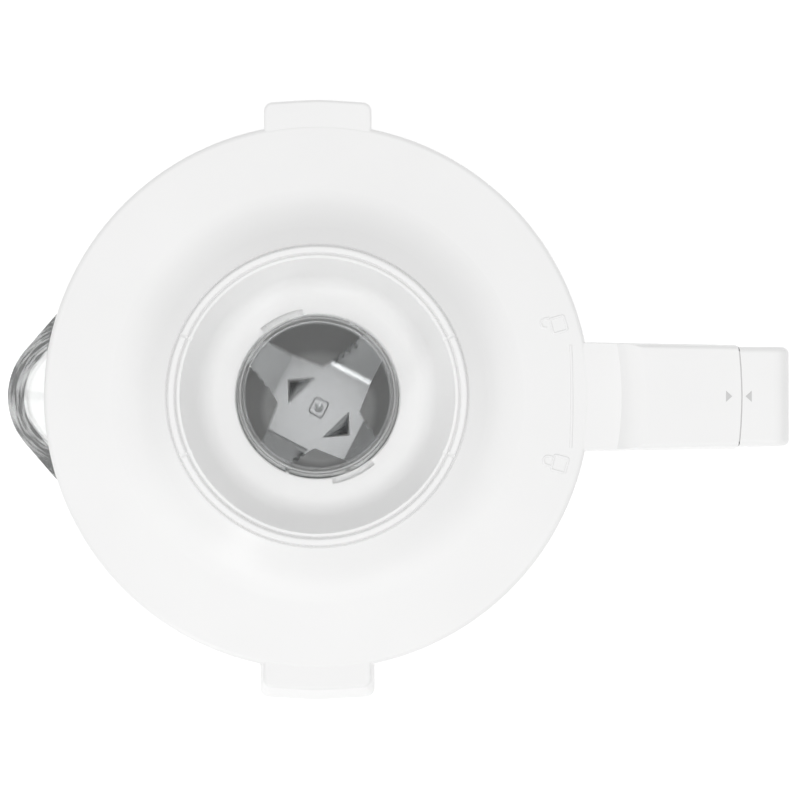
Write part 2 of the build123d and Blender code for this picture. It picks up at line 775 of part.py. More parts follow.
def armature_core():
    """Slotted lamination stack."""
    core = tube(ARMATURE_RADIUS, SHAFT_RADIUS, STACK_Z, STACK_TOP)
    core -= armature_slots(STACK_Z - 1, STACK_TOP + 1, ARMATURE_SLOT_WIDTH, ARMATURE_RADIUS + 1)
    return core


def armature_windings():
    """Copper in the slots with rounded end turns."""
    outer = ARMATURE_RADIUS - 1.2
    inner = SHAFT_RADIUS + 1.0
    width = ARMATURE_SLOT_WIDTH - 2 * RUN_GAP
    ends = []
    for low, high in ((STACK_Z - WINDING_OVERHANG, STACK_Z), (STACK_TOP, STACK_TOP + WINDING_OVERHANG)):
        ends.append(turned([(inner, low, 2), (outer, low, 2.5), (outer, high, 2.5), (inner, high, 2)]))
    bars = armature_slots(STACK_Z - 3, STACK_TOP + 3, width, ARMATURE_RADIUS - 1.6)
    return ends[0] + ends[1] + [bar - upright(inner, STACK_Z - 4, STACK_TOP + 4) for bar in bars]


def commutator():
    """Copper bars round an insulated sleeve."""
    low = COMMUTATOR_TOP - COMMUTATOR_LENGTH
    body = tube(COMMUTATOR_RADIUS, SHAFT_RADIUS, low, COMMUTATOR_TOP)
    cut = block(COMMUTATOR_RADIUS - 1.2, COMMUTATOR_RADIUS + 1, -0.35, 0.35, low - 1, COMMUTATOR_TOP + 1)
    return body - around(cut, ring(COMMUTATOR_BARS))


def cooling_fan():
    """Radial fan that draws air through the bottom slots."""
    fan = tube(FAN_RADIUS, SHAFT_RADIUS, FAN_TOP - FAN_PLATE, FAN_TOP)
    fan += tube(FAN_HUB, SHAFT_RADIUS, FAN_Z, FAN_TOP)
    vane = sector(
        FAN_RADIUS * 0.62, FAN_RADIUS * 0.62 + FAN_BLADE_THICK, 118, 178, FAN_Z + 1, FAN_TOP - FAN_PLATE / 2,
    )
    vane = Pos(FAN_RADIUS * 0.62 + FAN_HUB - 2, 0, 0) * vane
    vane &= upright(FAN_RADIUS - 0.5, FAN_Z, FAN_TOP)
    return fan + [blade - upright(SHAFT_RADIUS, FAN_Z, FAN_TOP) for blade in around(vane, ring(FAN_BLADES))]


def dog(low, high, spare):
    """Star of fins with play on every side."""
    star = upright(DOG_CORE + spare, low, high)
    fin = block(0, DOG_RADIUS + 2, -DOG_FIN_WIDTH / 2 - spare, DOG_FIN_WIDTH / 2 + spare, low, high)
    for arm in around(fin, ring(DOG_FINS)):
        star += arm
    return star & upright(DOG_RADIUS + spare, low, high)


def drive_coupling():
    """Six-fin dog on the motor shaft."""
    body = upright(DOG_RADIUS, DOG_Z, DOG_Z + DOG_FLANGE)
    body += dog(DOG_Z + DOG_FLANGE / 2, DOG_TOP, 0.0)
    return body - upright(SHAFT_RADIUS, DOG_Z - 1, DOG_TOP - 2)


# Jug

def glass_outer(height):
    """Outer radius of the jug's cone at a height."""
    slope = (MOUTH_RADIUS - FLARE_RADIUS) / (BEAD_Z - FLARE_Z)
    return FLARE_RADIUS + slope * (height - FLARE_Z)


def glass_flare(height):
    """Outer radius of the flare between neck and cone at a height."""
    slope = (FLARE_RADIUS - NECK_RADIUS) / (FLARE_Z - NECK_TOP)
    return NECK_RADIUS + slope * (height - NECK_TOP)


def lip_face(reach, radius, height):
    """Plan of the spout: a round tip with flanks that run on to the rim."""
    flank = asin((glass_outer(RIM_Z) - SPOUT_SINK - SPOUT_RADIUS) / (SPOUT_REACH - SPOUT_RADIUS))
    apex = reach - radius + radius / sin(flank)
    back = apex * sin(flank) ** 2
    wide = apex * sin(flank) * cos(flank)
    return plan_face([(-apex, 0, radius), (-back, -wide), (-back, wide)], height)


def spout(tip, radius, root_tip, top):
    """Tapered form under the pouring lip, carried on to a height past the rim."""
    low = RIM_Z - SPOUT_DROP
    share = (top - low) / SPOUT_DROP
    reach = root_tip + (tip - root_tip) * share
    wide = SPOUT_ROOT + (radius - SPOUT_ROOT) * share
    return loft([lip_face(root_tip, SPOUT_ROOT, low), lip_face(reach, wide, top)], ruled=True)


def on_cone(edge):
    """True for an edge where the spout leaves the jug's cone."""
    spot = edge @ 0.5
    radius = sqrt(spot.X ** 2 + spot.Y ** 2)
    return RIM_Z - SPOUT_DROP < spot.Z < RIM_Z - 1 and spot.X < 0 and abs(radius - glass_outer(spot.Z)) < 0.02


def glass_jug():
    """Conical glass jug with a neck, a rim bead and a pouring spout."""
    low = RIM_Z - SPOUT_DROP
    body = turned([
        (0, GLASS_Z),
        (NECK_RADIUS, GLASS_Z, 1.5),
        (NECK_RADIUS, NECK_TOP, NECK_ROUND),
        (FLARE_RADIUS, FLARE_Z, FLARE_ROUND),
        (glass_outer(RIM_Z), RIM_Z),
        (0, RIM_Z),
    ])
    root = glass_outer(low) - SPOUT_SINK
    body += spout(SPOUT_REACH, SPOUT_RADIUS, root, RIM_Z)
    body = fillet(body.edges().filter_by(on_cone), SPOUT_BLEND)
    body += turned([
        (MOUTH_RADIUS - GLASS_WALL, BEAD_Z),
        (MOUTH_RADIUS, BEAD_Z),
        (BEAD_RADIUS, BEAD_Z + 3, 3),
        (BEAD_RADIUS, RIM_Z, BEAD_ROUND),
        (MOUTH_RADIUS - GLASS_WALL, RIM_Z),
    ])
    wide = NECK_RADIUS - NECK_WALL
    mouth = MOUTH_RADIUS - GLASS_WALL
    hollow = turned([
        (0, GLASS_Z - 1),
        (wide, GLASS_Z - 1),
        (wide, NECK_TOP, NECK_ROUND),
        (FLARE_RADIUS - GLASS_WALL, FLARE_Z, FLARE_ROUND),
        (mouth, BEAD_Z, 20),
        (BEAD_RADIUS - GLASS_WALL, RIM_Z + 1),
        (0, RIM_Z + 1),
    ])
    hollow += spout(SPOUT_REACH - GLASS_WALL, SPOUT_RADIUS - GLASS_WALL, root - GLASS_WALL, RIM_Z + 2)
    return body - hollow


def jug_base():
    """Ring that carries the jug, keyed into the base socket."""
    step = DECK_Z + 1.5
    body = turned([
        (PLUG_OUTER - PLUG_WALL, SOCKET_Z),
        (PLUG_OUTER, SOCKET_Z, 1.0),
        (PLUG_OUTER, step, 1.5),
        (JUG_BASE_RADIUS, step + 3, 3),
        (JUG_BASE_RADIUS, JUG_BASE_TOP - 14, 20),
        (JUG_BASE_TOP_RADIUS, JUG_BASE_TOP, 1.2),
        (glass_flare(JUG_BASE_TOP) + SLIDE_GAP, JUG_BASE_TOP),
        (glass_flare(NECK_TOP) + SLIDE_GAP, NECK_TOP, NECK_ROUND),
        (NECK_RADIUS + SLIDE_GAP, LEDGE_TOP),
        (LEDGE_RADIUS, LEDGE_TOP),
        (LEDGE_RADIUS, LEDGE_Z),
        (PLUG_OUTER - PLUG_WALL, LEDGE_Z),
    ])
    groove = block(
        SOCKET_RADIUS - KEY_DEPTH - SLIDE_GAP, JUG_BASE_RADIUS,
        -KEY_WIDTH / 2 - SLIDE_GAP, KEY_WIDTH / 2 + SLIDE_GAP, SOCKET_Z - 1, step - 1,
    )
    return body - around(groove, QUARTERS)


def jug_seal():
    """Flat ring between the blade carrier and the glass."""
    return tube(NECK_RADIUS - SEAT_GAP, NECK_RADIUS - NECK_WALL + SEAT_GAP, FLANGE_TOP, GLASS_Z)


def blade_carrier():
    """Grey bowl that closes the jug and holds the blade bearing."""
    outer = NECK_RADIUS - NECK_WALL - SLIDE_GAP
    skin = CARRIER_WALL
    lip = outer - skin / 2
    return turned([
        (NECK_RADIUS, LEDGE_TOP),
        (NECK_RADIUS, FLANGE_TOP),
        (outer, FLANGE_TOP),
        (outer, NECK_TOP, 0.6),
        (lip, NECK_TOP, 0.6),
        (BOWL_FLOOR_RADIUS, BOWL_Z, BOWL_ROUND),
        (HUB_RADIUS + 1.5, BOWL_Z, 1.0),
        (HUB_RADIUS, HUB_TOP, 0.8),
        (SHAFT_SEAL_RADIUS, HUB_TOP),
        (SHAFT_SEAL_RADIUS, SHAFT_SEAL_Z),
        (BUSH_RADIUS, SHAFT_SEAL_Z),
        (BUSH_RADIUS, HUB_UNDER),
        (HUB_RADIUS, HUB_UNDER),
        (HUB_RADIUS, BOWL_Z - skin),
        (BOWL_FLOOR_RADIUS, BOWL_Z - skin, BOWL_ROUND),
        (outer - skin, NECK_TOP - 2 * skin),
        (outer - skin, LEDGE_TOP),
    ])


def spindle_bush():
    """Bearing bush pressed into the carrier hub."""
    return tube(BUSH_RADIUS, SHAFT_RADIUS + RUN_GAP, HUB_UNDER, SHAFT_SEAL_Z)


def shaft_seal():
    """Lip seal above the bush."""
    return turned([
        (SHAFT_RADIUS + SEAT_GAP, SHAFT_SEAL_Z),
        (SHAFT_SEAL_RADIUS - RUN_GAP, SHAFT_SEAL_Z),
        (SHAFT_SEAL_RADIUS - RUN_GAP, HUB_TOP, 0.8),
        (SHAFT_RADIUS + SEAT_GAP, HUB_TOP + 1.2, 0.5),
    ])


def rivet_face(spare, height):
    """Squared spindle end in plan."""
    x = RIVET_WIDTH / 2 + spare
    y = RIVET_DEPTH / 2 + spare
    return plan_face([(x, y, 1.2), (-x, y, 1.2), (-x, -y, 1.2), (x, -y, 1.2)], height)


def blade_spindle():
    """Steel spindle with a blade collar and a squared, riveted end."""
    body = upright(SHAFT_RADIUS, POCKET_TOP + 1, BLADE_Z)
    body += upright(BLADE_COLLAR, BLADE_Z - BLADE_COLLAR_HEIGHT, BLADE_Z)
    end = raised(rivet_face(0.0, BLADE_Z - 1), 1 + BLADE_THICK + RIVET_RISE)
    end = chamfer(end.faces().sort_by(Axis.Z)[-1].edges(), RIVET_CHAMFER)
    peen = turned([(0, -PEEN_DEPTH), (PEEN_RADIUS, 0), (0, 0)])
    end -= Pos(0, 0, BLADE_Z + BLADE_THICK + RIVET_RISE) * peen
    return Rot(0, 0, BLADE_TURN) * (body + end)


def blade_teeth():
    """Round cutters along a wing's leading edge."""
    cuts = []
    for i in range(TEETH):
        share = (i + 0.8) / (TEETH + 0.4)
        x = WING_LEAD + (WING_LEAD_TIP - WING_LEAD) * share - TOOTH_RADIUS * 0.55
        y = FOLD_REACH + (TIP_REACH - FOLD_REACH) * share
        cuts.append(upright(TOOTH_RADIUS, -1, BLADE_THICK + 1, x, y))
    return cuts


def blade_wing(bend):
    """One serrated wing along +Y, bent about its fold line; a positive bend lifts the tip."""
    length = (TIP_REACH - FOLD_REACH) / cos(radians(bend)) + FOLD_REACH
    face = plan_face([
        (WING_LEAD, FOLD_REACH),
        (WING_LEAD_TIP, length, 2.0),
        (WING_TRAIL, length - 1.5, 2.5),
        (WING_TRAIL, FOLD_REACH),
    ], 0)
    wing = raised(face, BLADE_THICK) - blade_teeth()
    hinge = Axis((0, FOLD_REACH, BLADE_THICK / 2), (1, 0, 0))
    wing = wing.rotate(hinge, bend)
    knuckle = Cylinder(BLADE_THICK / 2, WING_TRAIL - WING_LEAD, rotation=(0, 90, 0))
    return wing + Pos((WING_TRAIL + WING_LEAD) / 2, FOLD_REACH, BLADE_THICK / 2) * knuckle


def up_fold(edge):
    """True for the inside line of an upward fold."""
    spot = edge.center()
    near = abs(spot.Z - BLADE_THICK) < 0.01 and abs(abs(spot.Y) - FOLD_REACH) < BLADE_THICK
    return near and edge.length > (WING_TRAIL - WING_LEAD) / 2


def blade_window(grow):
    """Three corners of the cut-out in the root of a flat wing."""
    return [
        (WINDOW_LOW_X - grow, WINDOW_LOW_Y - grow),
        (WINDOW_HIGH_X - grow / 2, WINDOW_HIGH_Y + grow),
        (WINDOW_TIP_X + grow, WINDOW_TIP_Y),
    ]


def blade():
    """Four-wing blade: two wings folded up, two bent slightly down, with cut-out tabs between."""
    corners = []
    for turn in range(4):
        for x, y, corner in (
            (NOTCH_ACROSS, NOTCH_OUT, 1.0),
            (WING_LEAD, FOLD_REACH, 0),
            (WING_TRAIL, FOLD_REACH, 0),
        ):
            angle = radians(-90 * turn)
            spot = (x * cos(angle) - y * sin(angle), x * sin(angle) + y * cos(angle), corner)
            corners.append(spot)
    body = raised(plan_face(corners, 0), BLADE_THICK)
    for turn, bend in ((0, UP_BEND), (90, -DOWN_BEND), (180, UP_BEND), (270, -DOWN_BEND)):
        body += Rot(0, 0, turn) * blade_wing(bend)
    body = fillet(body.edges().filter_by(up_fold), FOLD_ROUND)
    window = raised(plan_face(blade_window(0.0), -6), BLADE_THICK + 12)
    body -= [window, Rot(0, 0, 180) * window]
    low, high, apex = blade_window(-TAB_PLAY)
    fold = Axis((low[0], low[1], BLADE_THICK / 2), (high[0] - low[0], high[1] - low[1], 0))
    tab_face = plan_face([(low[0] - TAB_ROOT, low[1]), (high[0] - TAB_ROOT, high[1]), apex], 0)
    tab = raised(tab_face, BLADE_THICK).rotate(fold, TAB_BEND)
    body += [tab, Rot(0, 0, 180) * tab]
    body -= raised(rivet_face(RUN_GAP, -8), 20)
    return Pos(0, 0, BLADE_Z) * Rot(0, 0, BLADE_TURN) * body


def thrust_washer():
    """Washer between the driven coupling and the carrier hub."""
    return tube(WASHER_RADIUS, SHAFT_RADIUS + RUN_GAP, DRIVEN_TOP, DRIVEN_TOP + WASHER_THICK)


def jug_coupling():
    """Driven cup with a six-slot pocket under the jug."""
    body = turned([
        (0, DRIVEN_Z),
        (DRIVEN_RADIUS, DRIVEN_Z, 1.0),
        (DRIVEN_RADIUS, POCKET_TOP + 1, 2.0),
        (DRIVEN_HUB + 1.5, POCKET_TOP + 2.5, 1.5),
        (DRIVEN_HUB, DRIVEN_TOP, 0.8),
        (0, DRIVEN_TOP),
    ])
    body -= dog(DRIVEN_Z - 1, POCKET_TOP, SLIDE_GAP)
    return body - upright(SHAFT_RADIUS, POCKET_TOP - 1, DRIVEN_TOP + 1)


# Handle

def handle_line():
    """Outer side line of the grip, from the top end block down to the jug base."""
    bend_x = HANDLE_REACH - GRIP_FOOT_INSET
    bend_z = JUG_BASE_TOP + GRIP_FOOT_RISE
    foot_x = JUG_BASE_TOP_RADIUS - 6
    foot_z = JUG_BASE_TOP - FOOT_DROP
    return [
        (HANDLE_REACH, ARM_TOP),
        (HANDLE_REACH, BRIDGE_TOP - GRIP_TOP_DROP),
        (bend_x, bend_z),
        (foot_x, foot_z),
    ]


def soften(points, first, second):
    """Side line with its two bends rounded."""
    return [points[0], (*points[1], first), (*points[2], second), points[3]]


def jug_side(spare):
    """Space taken by the jug base, the glass and the band, with play."""
    body = turned([
        (0, SOCKET_Z),
        (JUG_BASE_RADIUS + spare, SOCKET_Z),
        (JUG_BASE_RADIUS + spare, JUG_BASE_TOP - 14, 20),
        (JUG_BASE_TOP_RADIUS + spare, JUG_BASE_TOP + spare),
        (NECK_RADIUS, JUG_BASE_TOP + spare),
        (FLARE_RADIUS + BAND_THICK, FLARE_Z),
        (glass_outer(RIM_Z) + SEAT_GAP + BAND_THICK + spare, RIM_Z),
        (0, RIM_Z),
    ])
    return body


def long_edges(body, line):
    """Edges of a handle half that run beside a side line on its flanks."""
    def beside_line(edge):
        spot = edge.center()
        if abs(abs(spot.Y) - HANDLE_WIDTH / 2) > 0.01:
            return False
        for start, end in zip(line, line[1:]):
            run = Vector(end[0] - start[0], end[1] - start[1], 0)
            away = Vector(spot.X - start[0], spot.Z - start[1], 0)
            share = min(max(away.dot(run) / run.dot(run), 0), 1)
            if (away - run * share).length < COVER_THICK / 2:
                return True
        return False

    return body.edges().filter_by(beside_line)


def handle_screw_places():
    """Heights and grip faces of the handle screws."""
    line = beside(handle_line(), HANDLE_THICK)
    top = line[1]
    foot = line[2]
    places = []
    for z in (top[1] - HANDLE_SCREW_INSET, foot[1] + HANDLE_SCREW_INSET):
        share = (top[1] - z) / (top[1] - foot[1])
        places.append((top[0] + (foot[0] - top[0]) * share, z))
    return places


def lengthwise(radius, start, end, z):
    """Cylinder along X at a height."""
    body = Cylinder(radius, end - start, rotation=(0, 90, 0))
    return Pos((start + end) / 2, 0, z) * body


def handle_frame():
    """Inner half of the handle: top bridge, grip and foot."""
    split = beside(handle_line(), COVER_THICK)
    inner = beside(handle_line(), HANDLE_THICK)
    under = BRIDGE_TOP - BRIDGE_DEPTH
    outline = [(LID_RADIUS - 15, BRIDGE_TOP), (split[0][0], BRIDGE_TOP)]
    outline += soften(split, 60, 30)[1:]
    outline += [(inner[3][0], inner[3][1]), (*inner[2], 20), (*inner[1], 40)]
    outline += [(inner[1][0], under, 10), (LID_RADIUS - 15, under)]
    body = extrude(side_face(outline), HANDLE_WIDTH / 2, both=True)
    grip = [(LID_RADIUS - 15, under), (inner[1][0], under)] + inner[1:]
    body = fillet(long_edges(body, grip), GRIP_ROUND)
    body -= jug_side(SEAT_GAP)
    for x, z in handle_screw_places():
        body -= lengthwise(HANDLE_SCREW + RUN_GAP, x - 5, x + HANDLE_THICK, z)
        body -= lengthwise(HANDLE_SCREW_HEAD + SEAT_GAP, x - 8, x + 3, z)
    return body


def handle_cover():
    """Outer half of the handle with the end block that faces the lid arm."""
    line = handle_line()
    split = beside(line, COVER_THICK)
    lap = ARM_REACH + SEAT_GAP - 6
    top = soften(line, 70, 40)
    outline = [(lap, ARM_TOP), (*line[0], END_ROUND)] + top[1:]
    outline += [split[3], (*split[2], 30), (*split[1], 60), (split[0][0], BRIDGE_TOP), (lap, BRIDGE_TOP)]
    body = extrude(side_face(outline), HANDLE_WIDTH / 2, both=True)
    body = fillet(long_edges(body, [(lap, ARM_TOP)] + line), COVER_ROUND)
    body -= upright(ARM_REACH + SEAT_GAP, BRIDGE_TOP, ARM_TOP + 1)
    body -= jug_side(SEAT_GAP)
    for x, z in handle_screw_places():
        body -= lengthwise(HANDLE_SCREW + RUN_GAP, x, x + HANDLE_THICK - 4, z)
    return body


def handle_screws():
    """Two screws from the grip side into the cover."""
    screws = []
    for x, z in handle_screw_places():
        screw = lengthwise(HANDLE_SCREW, x + 2, x + HANDLE_THICK - 5, z)
        screws.append(screw + lengthwise(HANDLE_SCREW_HEAD, x + 0.5, x + 3, z))
    return screws


def handle_band():
    """Band round the glass under the rim, open at the spout."""
    low = BAND_TOP - BAND_HEIGHT
    foot = glass_outer(low) + SEAT_GAP
    head = glass_outer(BAND_TOP) + SEAT_GAP
    profile = [(foot, low), (foot + BAND_THICK, low), (head + BAND_THICK, BAND_TOP), (head, BAND_TOP)]
    body = Rot(0, 0, -BAND_HALF_ANGLE) * turned(profile, 2 * BAND_HALF_ANGLE)
    corners = body.edges().filter_by(lambda edge: abs(edge.length - BAND_THICK) < 0.01)
    body = fillet(corners, BAND_END_ROUND)
    outer = body.faces().sort_by(SortBy.AREA)[-1]
    return fillet(outer.edges(), BAND_EDGE_ROUND)


# Lid

def lid_disc():
    """Turned part of the lid: edge, sweep, double ring, funnel dish, filler tube and plug skirt."""
    groove = CREST_RADIUS + RING_GROOVE / 2
    inner_crest = CREST_RADIUS - CREST_WIDTH
    bead_out = inner_crest - RING_GROOVE
    bead_in = bead_out - RING_BEAD
    under = LID_TOP - LID_WALL
    skirt = PLUG_RADIUS - LID_WALL
    seat_in = BEAD_RADIUS - GLASS_WALL
    return turned([
        (LID_RADIUS, LID_Z, 0.4),
        (LID_RADIUS, LID_TOP, LID_ROUND),
        (SWEEP_RADIUS, LID_TOP + 1.2, SWEEP_ROUND),
        (groove + 0.5, CREST_Z - 1.4),
        (groove, CREST_Z - 2.0),
        (CREST_RADIUS, CREST_Z, 0.5),
        (inner_crest, CREST_Z, 0.5),
        (inner_crest - RING_GROOVE / 2, CREST_Z - 1.2),
        (bead_out, CREST_Z - 0.5, 0.15),
        (bead_in, CREST_Z - 0.5, 0.3),
        (DISH_RADIUS, DISH_Z, DISH_ROUND),
        (FILLER_RADIUS, DISH_Z, 0.5),
        (FILLER_RADIUS, DISH_Z - FILLER_TUBE),
        (FILLER_RADIUS + LID_WALL, DISH_Z - FILLER_TUBE),
        (FILLER_RADIUS + LID_WALL, DISH_Z - LID_WALL),
        (DISH_RADIUS + LID_WALL, DISH_Z - LID_WALL, DISH_ROUND),
        (bead_in + LID_WALL * 0.7, CREST_Z - LID_WALL - 1.0),
        (groove, CREST_Z - LID_WALL - 1.8),
        (SWEEP_RADIUS, under + 0.4, SWEEP_ROUND - 4),
        (skirt, under),
        (skirt, PLUG_Z),
        (PLUG_RADIUS + PLUG_LEDGE, PLUG_Z),
        (PLUG_RADIUS + PLUG_LEDGE, PLUG_Z + LID_WALL * 0.7),
        (PLUG_RADIUS, PLUG_Z + LID_WALL * 0.7),
        (PLUG_RADIUS, under),
        (seat_in, under),
        (seat_in, LID_Z),
        (BEAD_RADIUS, LID_Z),
        (BEAD_RADIUS, under),
        (LID_RADIUS - LID_RIB, under),
        (LID_RADIUS - LID_RIB, LID_Z),
    ])


def arm_plan(spare, low):
    """Plan of the lid arm, narrowed by a spare width."""
    root = ARM_ROOT_HALF - spare
    end = ARM_END_HALF - spare
    start = LID_RADIUS - LID_RIB
    return plan_face([(start, root), (start, -root), (ARM_REACH + 4, -end), (ARM_REACH + 4, end)], low)


def lid_arm():
    """Hollow locking arm with a raised top that ends in an arc at the handle."""
    height = ARM_TOP - LID_Z
    draft = degrees(atan2(ARM_DRAFT, height))
    body = extrude(arm_plan(-ARM_DRAFT, LID_Z), height, dir=(0, 0, 1), taper=draft)
    crown = body.edges().group_by(Axis.Z)[-1].filter_by(lambda edge: edge.length > ARM_REACH - LID_RADIUS)
    body = fillet(crown, ARM_ROUND)
    brow = ARM_STEP + ARM_STEP_RUN
    body -= turned([
        (0, LID_TOP),
        (ARM_STEP, LID_TOP),
        (brow, ARM_TOP - ARM_BROW_DROP, ARM_BROW_ROUND),
        (brow + ARM_BROW_RUN, ARM_TOP + 2 * ARM_BROW_DROP),
        (0, ARM_TOP + 2 * ARM_BROW_DROP),
    ])
    body &= upright(ARM_REACH, LID_Z, ARM_TOP)
    room = raised(arm_plan(LID_WALL, LID_Z - 1), LID_TOP - LID_WALL - LID_Z + 1)
    high = raised(arm_plan(LID_WALL, LID_Z - 1), ARM_TOP - LID_WALL - LID_Z + 1)
    high -= upright(ARM_STEP + ARM_STEP_RUN + LID_WALL, LID_Z - 2, ARM_TOP)
    body -= (room + high) & upright(ARM_REACH - LID_WALL, LID_Z - 2, ARM_TOP)
    return body - upright(LID_RADIUS - LID_RIB, LID_Z - 1, ARM_TOP + 1)


def ear_face(half, reach, inset, height):
    """Plan of an ear on +Y with rounded corners and a slightly bowed end."""
    x = half - inset
    y = reach - inset
    start = LID_RADIUS - 8
    corner = max(EAR_CORNER - inset, 0.4)
    return plan_face([
        (x, start), (x, y - EAR_BOW, corner), (0, y, 60), (-x, y - EAR_BOW, corner), (-x, start),
    ], height)


def lid_ear(foot_half, foot_reach, top_half, top_reach):
    """Hollow finger ear on +Y that hangs past the rim."""
    low = LID_TOP - EAR_DEPTH
    body = loft([
        ear_face(foot_half, foot_reach, 0, low),
        ear_face(top_half, top_reach, 0, LID_TOP),
    ], ruled=True)
    top = body.faces().sort_by(Axis.Z)[-1]
    body = fillet(top.edges().filter_by(lambda edge: edge.center().Y > LID_RADIUS - 2), 0.9)
    inner = loft([
        ear_face(foot_half, foot_reach, LID_WALL, low - 1),
        ear_face(top_half, top_reach, LID_WALL, LID_TOP - LID_WALL),
    ], ruled=True)
    body -= inner
    return body - upright(LID_RADIUS - LID_RIB, low - 1, LID_TOP + 1)


def lid():
    """Lid in one moulding."""
    body = lid_disc() + lid_arm()
    body += lid_ear(EAR_HALF, EAR_REACH, EAR_HALF, EAR_REACH)
    front = lid_ear(EAR_HALF + FRONT_EAR_FLARE, FRONT_EAR_FOOT, EAR_HALF, FRONT_EAR_TOP)
    body += Rot(0, 0, 180) * front
    notch = sector(
        FILLER_RADIUS - 1, NOTCH_REACH, NOTCH_ANGLE - NOTCH_HALF_ANGLE, NOTCH_ANGLE + NOTCH_HALF_ANGLE,
        DISH_Z - NOTCH_DEPTH, DISH_Z + 1,
    )
    body -= around(notch, (0, 180))
    tick = block(
        CREST_RADIUS - CREST_WIDTH - 2 * RING_GROOVE, CREST_RADIUS + 1,
        -TICK_WIDTH / 2, TICK_WIDTH / 2, CREST_Z - 0.8, CREST_Z + 1,
    )
    body -= around(tick, (TICK_ANGLE, -TICK_ANGLE, 180 - TICK_ANGLE, 180 + TICK_ANGLE))
    return body


def lid_seal():
    """Two-lip rubber ring on the lid plug."""
    low = PLUG_Z + LID_WALL * 0.7 + SEAT_GAP / 2
    high = low + LID_SEAL_HEIGHT
    inner = PLUG_RADIUS + SEAT_GAP
    lip = glass_outer(low) - GLASS_WALL - SEAT_GAP
    waist = lip - 1.4
    step = LID_SEAL_HEIGHT / 4
    return turned([
        (inner, low),
        (waist, low, 0.4),
        (lip, low + step, 0.4),
        (waist, low + 2 * step, 0.4),
        (lip, low + 3 * step, 0.4),
        (waist, high, 0.4),
        (inner, high),
    ])


# Filler cap

def cap_form(spare, top, low):
    """Outer form of the cap: straight in the filler tube, tapered above it."""
    straight = FILLER_RADIUS - CAP_GAP + spare
    return turned([
        (0, low),
        (straight, low),
        (straight, DISH_Z + CAP_SHOULDER, 4),
        (CAP_TOP_RADIUS + spare, top, CAP_ROUND),
        (0, top),
    ])


def filler_cap():
    """Clear inverted cup with four grip ribs and two lugs in the lid notches."""
    body = cap_form(0.0, CAP_TOP, CAP_Z)
    plates = []
    for x in (-CAP_RIB_OFFSET, CAP_RIB_OFFSET):
        for side in (-1, 1):
            y = sorted((side * 12.0, side * FILLER_RADIUS * 1.2))
            plates.append(block(
                x - CAP_RIB_WIDTH / 2, x + CAP_RIB_WIDTH / 2, y[0], y[1], DISH_Z + 1, CAP_TOP - CAP_ROUND,
            ))
    body += [plate & cap_form(CAP_RIB, CAP_TOP, DISH_Z) for plate in plates]
    body -= cap_form(-CAP_WALL, CAP_TOP - CAP_WALL, CAP_Z - 1)
    lug = sector(
        FILLER_RADIUS - CAP_GAP - CAP_WALL / 2, NOTCH_REACH - SLIDE_GAP,
        NOTCH_ANGLE - NOTCH_HALF_ANGLE + 3, NOTCH_ANGLE + NOTCH_HALF_ANGLE - 3,
        DISH_Z - NOTCH_DEPTH + SEAT_GAP / 2, DISH_Z - NOTCH_DEPTH + SEAT_GAP / 2 + LUG_HEIGHT,
    )
    return body + around(lug, (0, 180))


PIECES = {
    "base_housing": base_housing,
    "base_plate": base_plate,
    "rubber_feet": rubber_feet,
    "base_screws": base_screws,
    "cord_gland": cord_gland,
    "knob_bezel": knob_bezel,
    "rotary_switch": rotary_switch,
    "speed_knob": speed_knob,
    "switch_spindle": switch_spindle,
    "motor_bracket_upper": motor_bracket_upper,
    "motor_bracket_lower": motor_bracket_lower,
    "upper_bearing": lambda: bearing(BRACKET_UNDER + BRACKET_THICK / 2),
    "lower_bearing": lambda: bearing(LOWER_UNDER + BRACKET_THICK / 2),
    "mount_bushes": mount_bushes,
    "mount_screws": mount_screws,
    "tie_bolts": tie_bolts,
    "stator_core": stator_core,
    "field_coils": field_coils,
    "brush_holders": brush_holders,
    "carbon_brushes": carbon_brushes,
    "drip_seal": drip_seal,
    "motor_shaft": motor_shaft,
    "armature_core": armature_core,
    "armature_windings": armature_windings,
    "commutator": commutator,
    "cooling_fan": cooling_fan,
    "drive_coupling": drive_coupling,
    "glass_jug": glass_jug,
    "jug_base": jug_base,
    "jug_seal": jug_seal,
    "blade_carrier": blade_carrier,
    "spindle_bush": spindle_bush,
    "shaft_seal": shaft_seal,
    "blade_spindle": blade_spindle,
    "blade": blade,
    "thrust_washer": thrust_washer,
    "jug_coupling": jug_coupling,
    "handle_frame": handle_frame,
    "handle_cover": handle_cover,
    "handle_screws": handle_screws,
    "handle_band": handle_band,
    "lid": lid,
    "lid_seal": lid_seal,
    "filler_cap": filler_cap,
}

os.makedirs("parts", exist_ok=True)
for name, make in PIECES.items():
    shape = make()
    if isinstance(shape, (list, tuple)):
        shape = Compound(children=list(shape))
    export_step(shape, f"parts/{name}.step")
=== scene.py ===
"""Looks of the countertop blender: materials, markings, light and camera."""
import json
import math

import bpy
from mathutils import Matrix, Vector
from mathutils.bvhtree import BVHTree


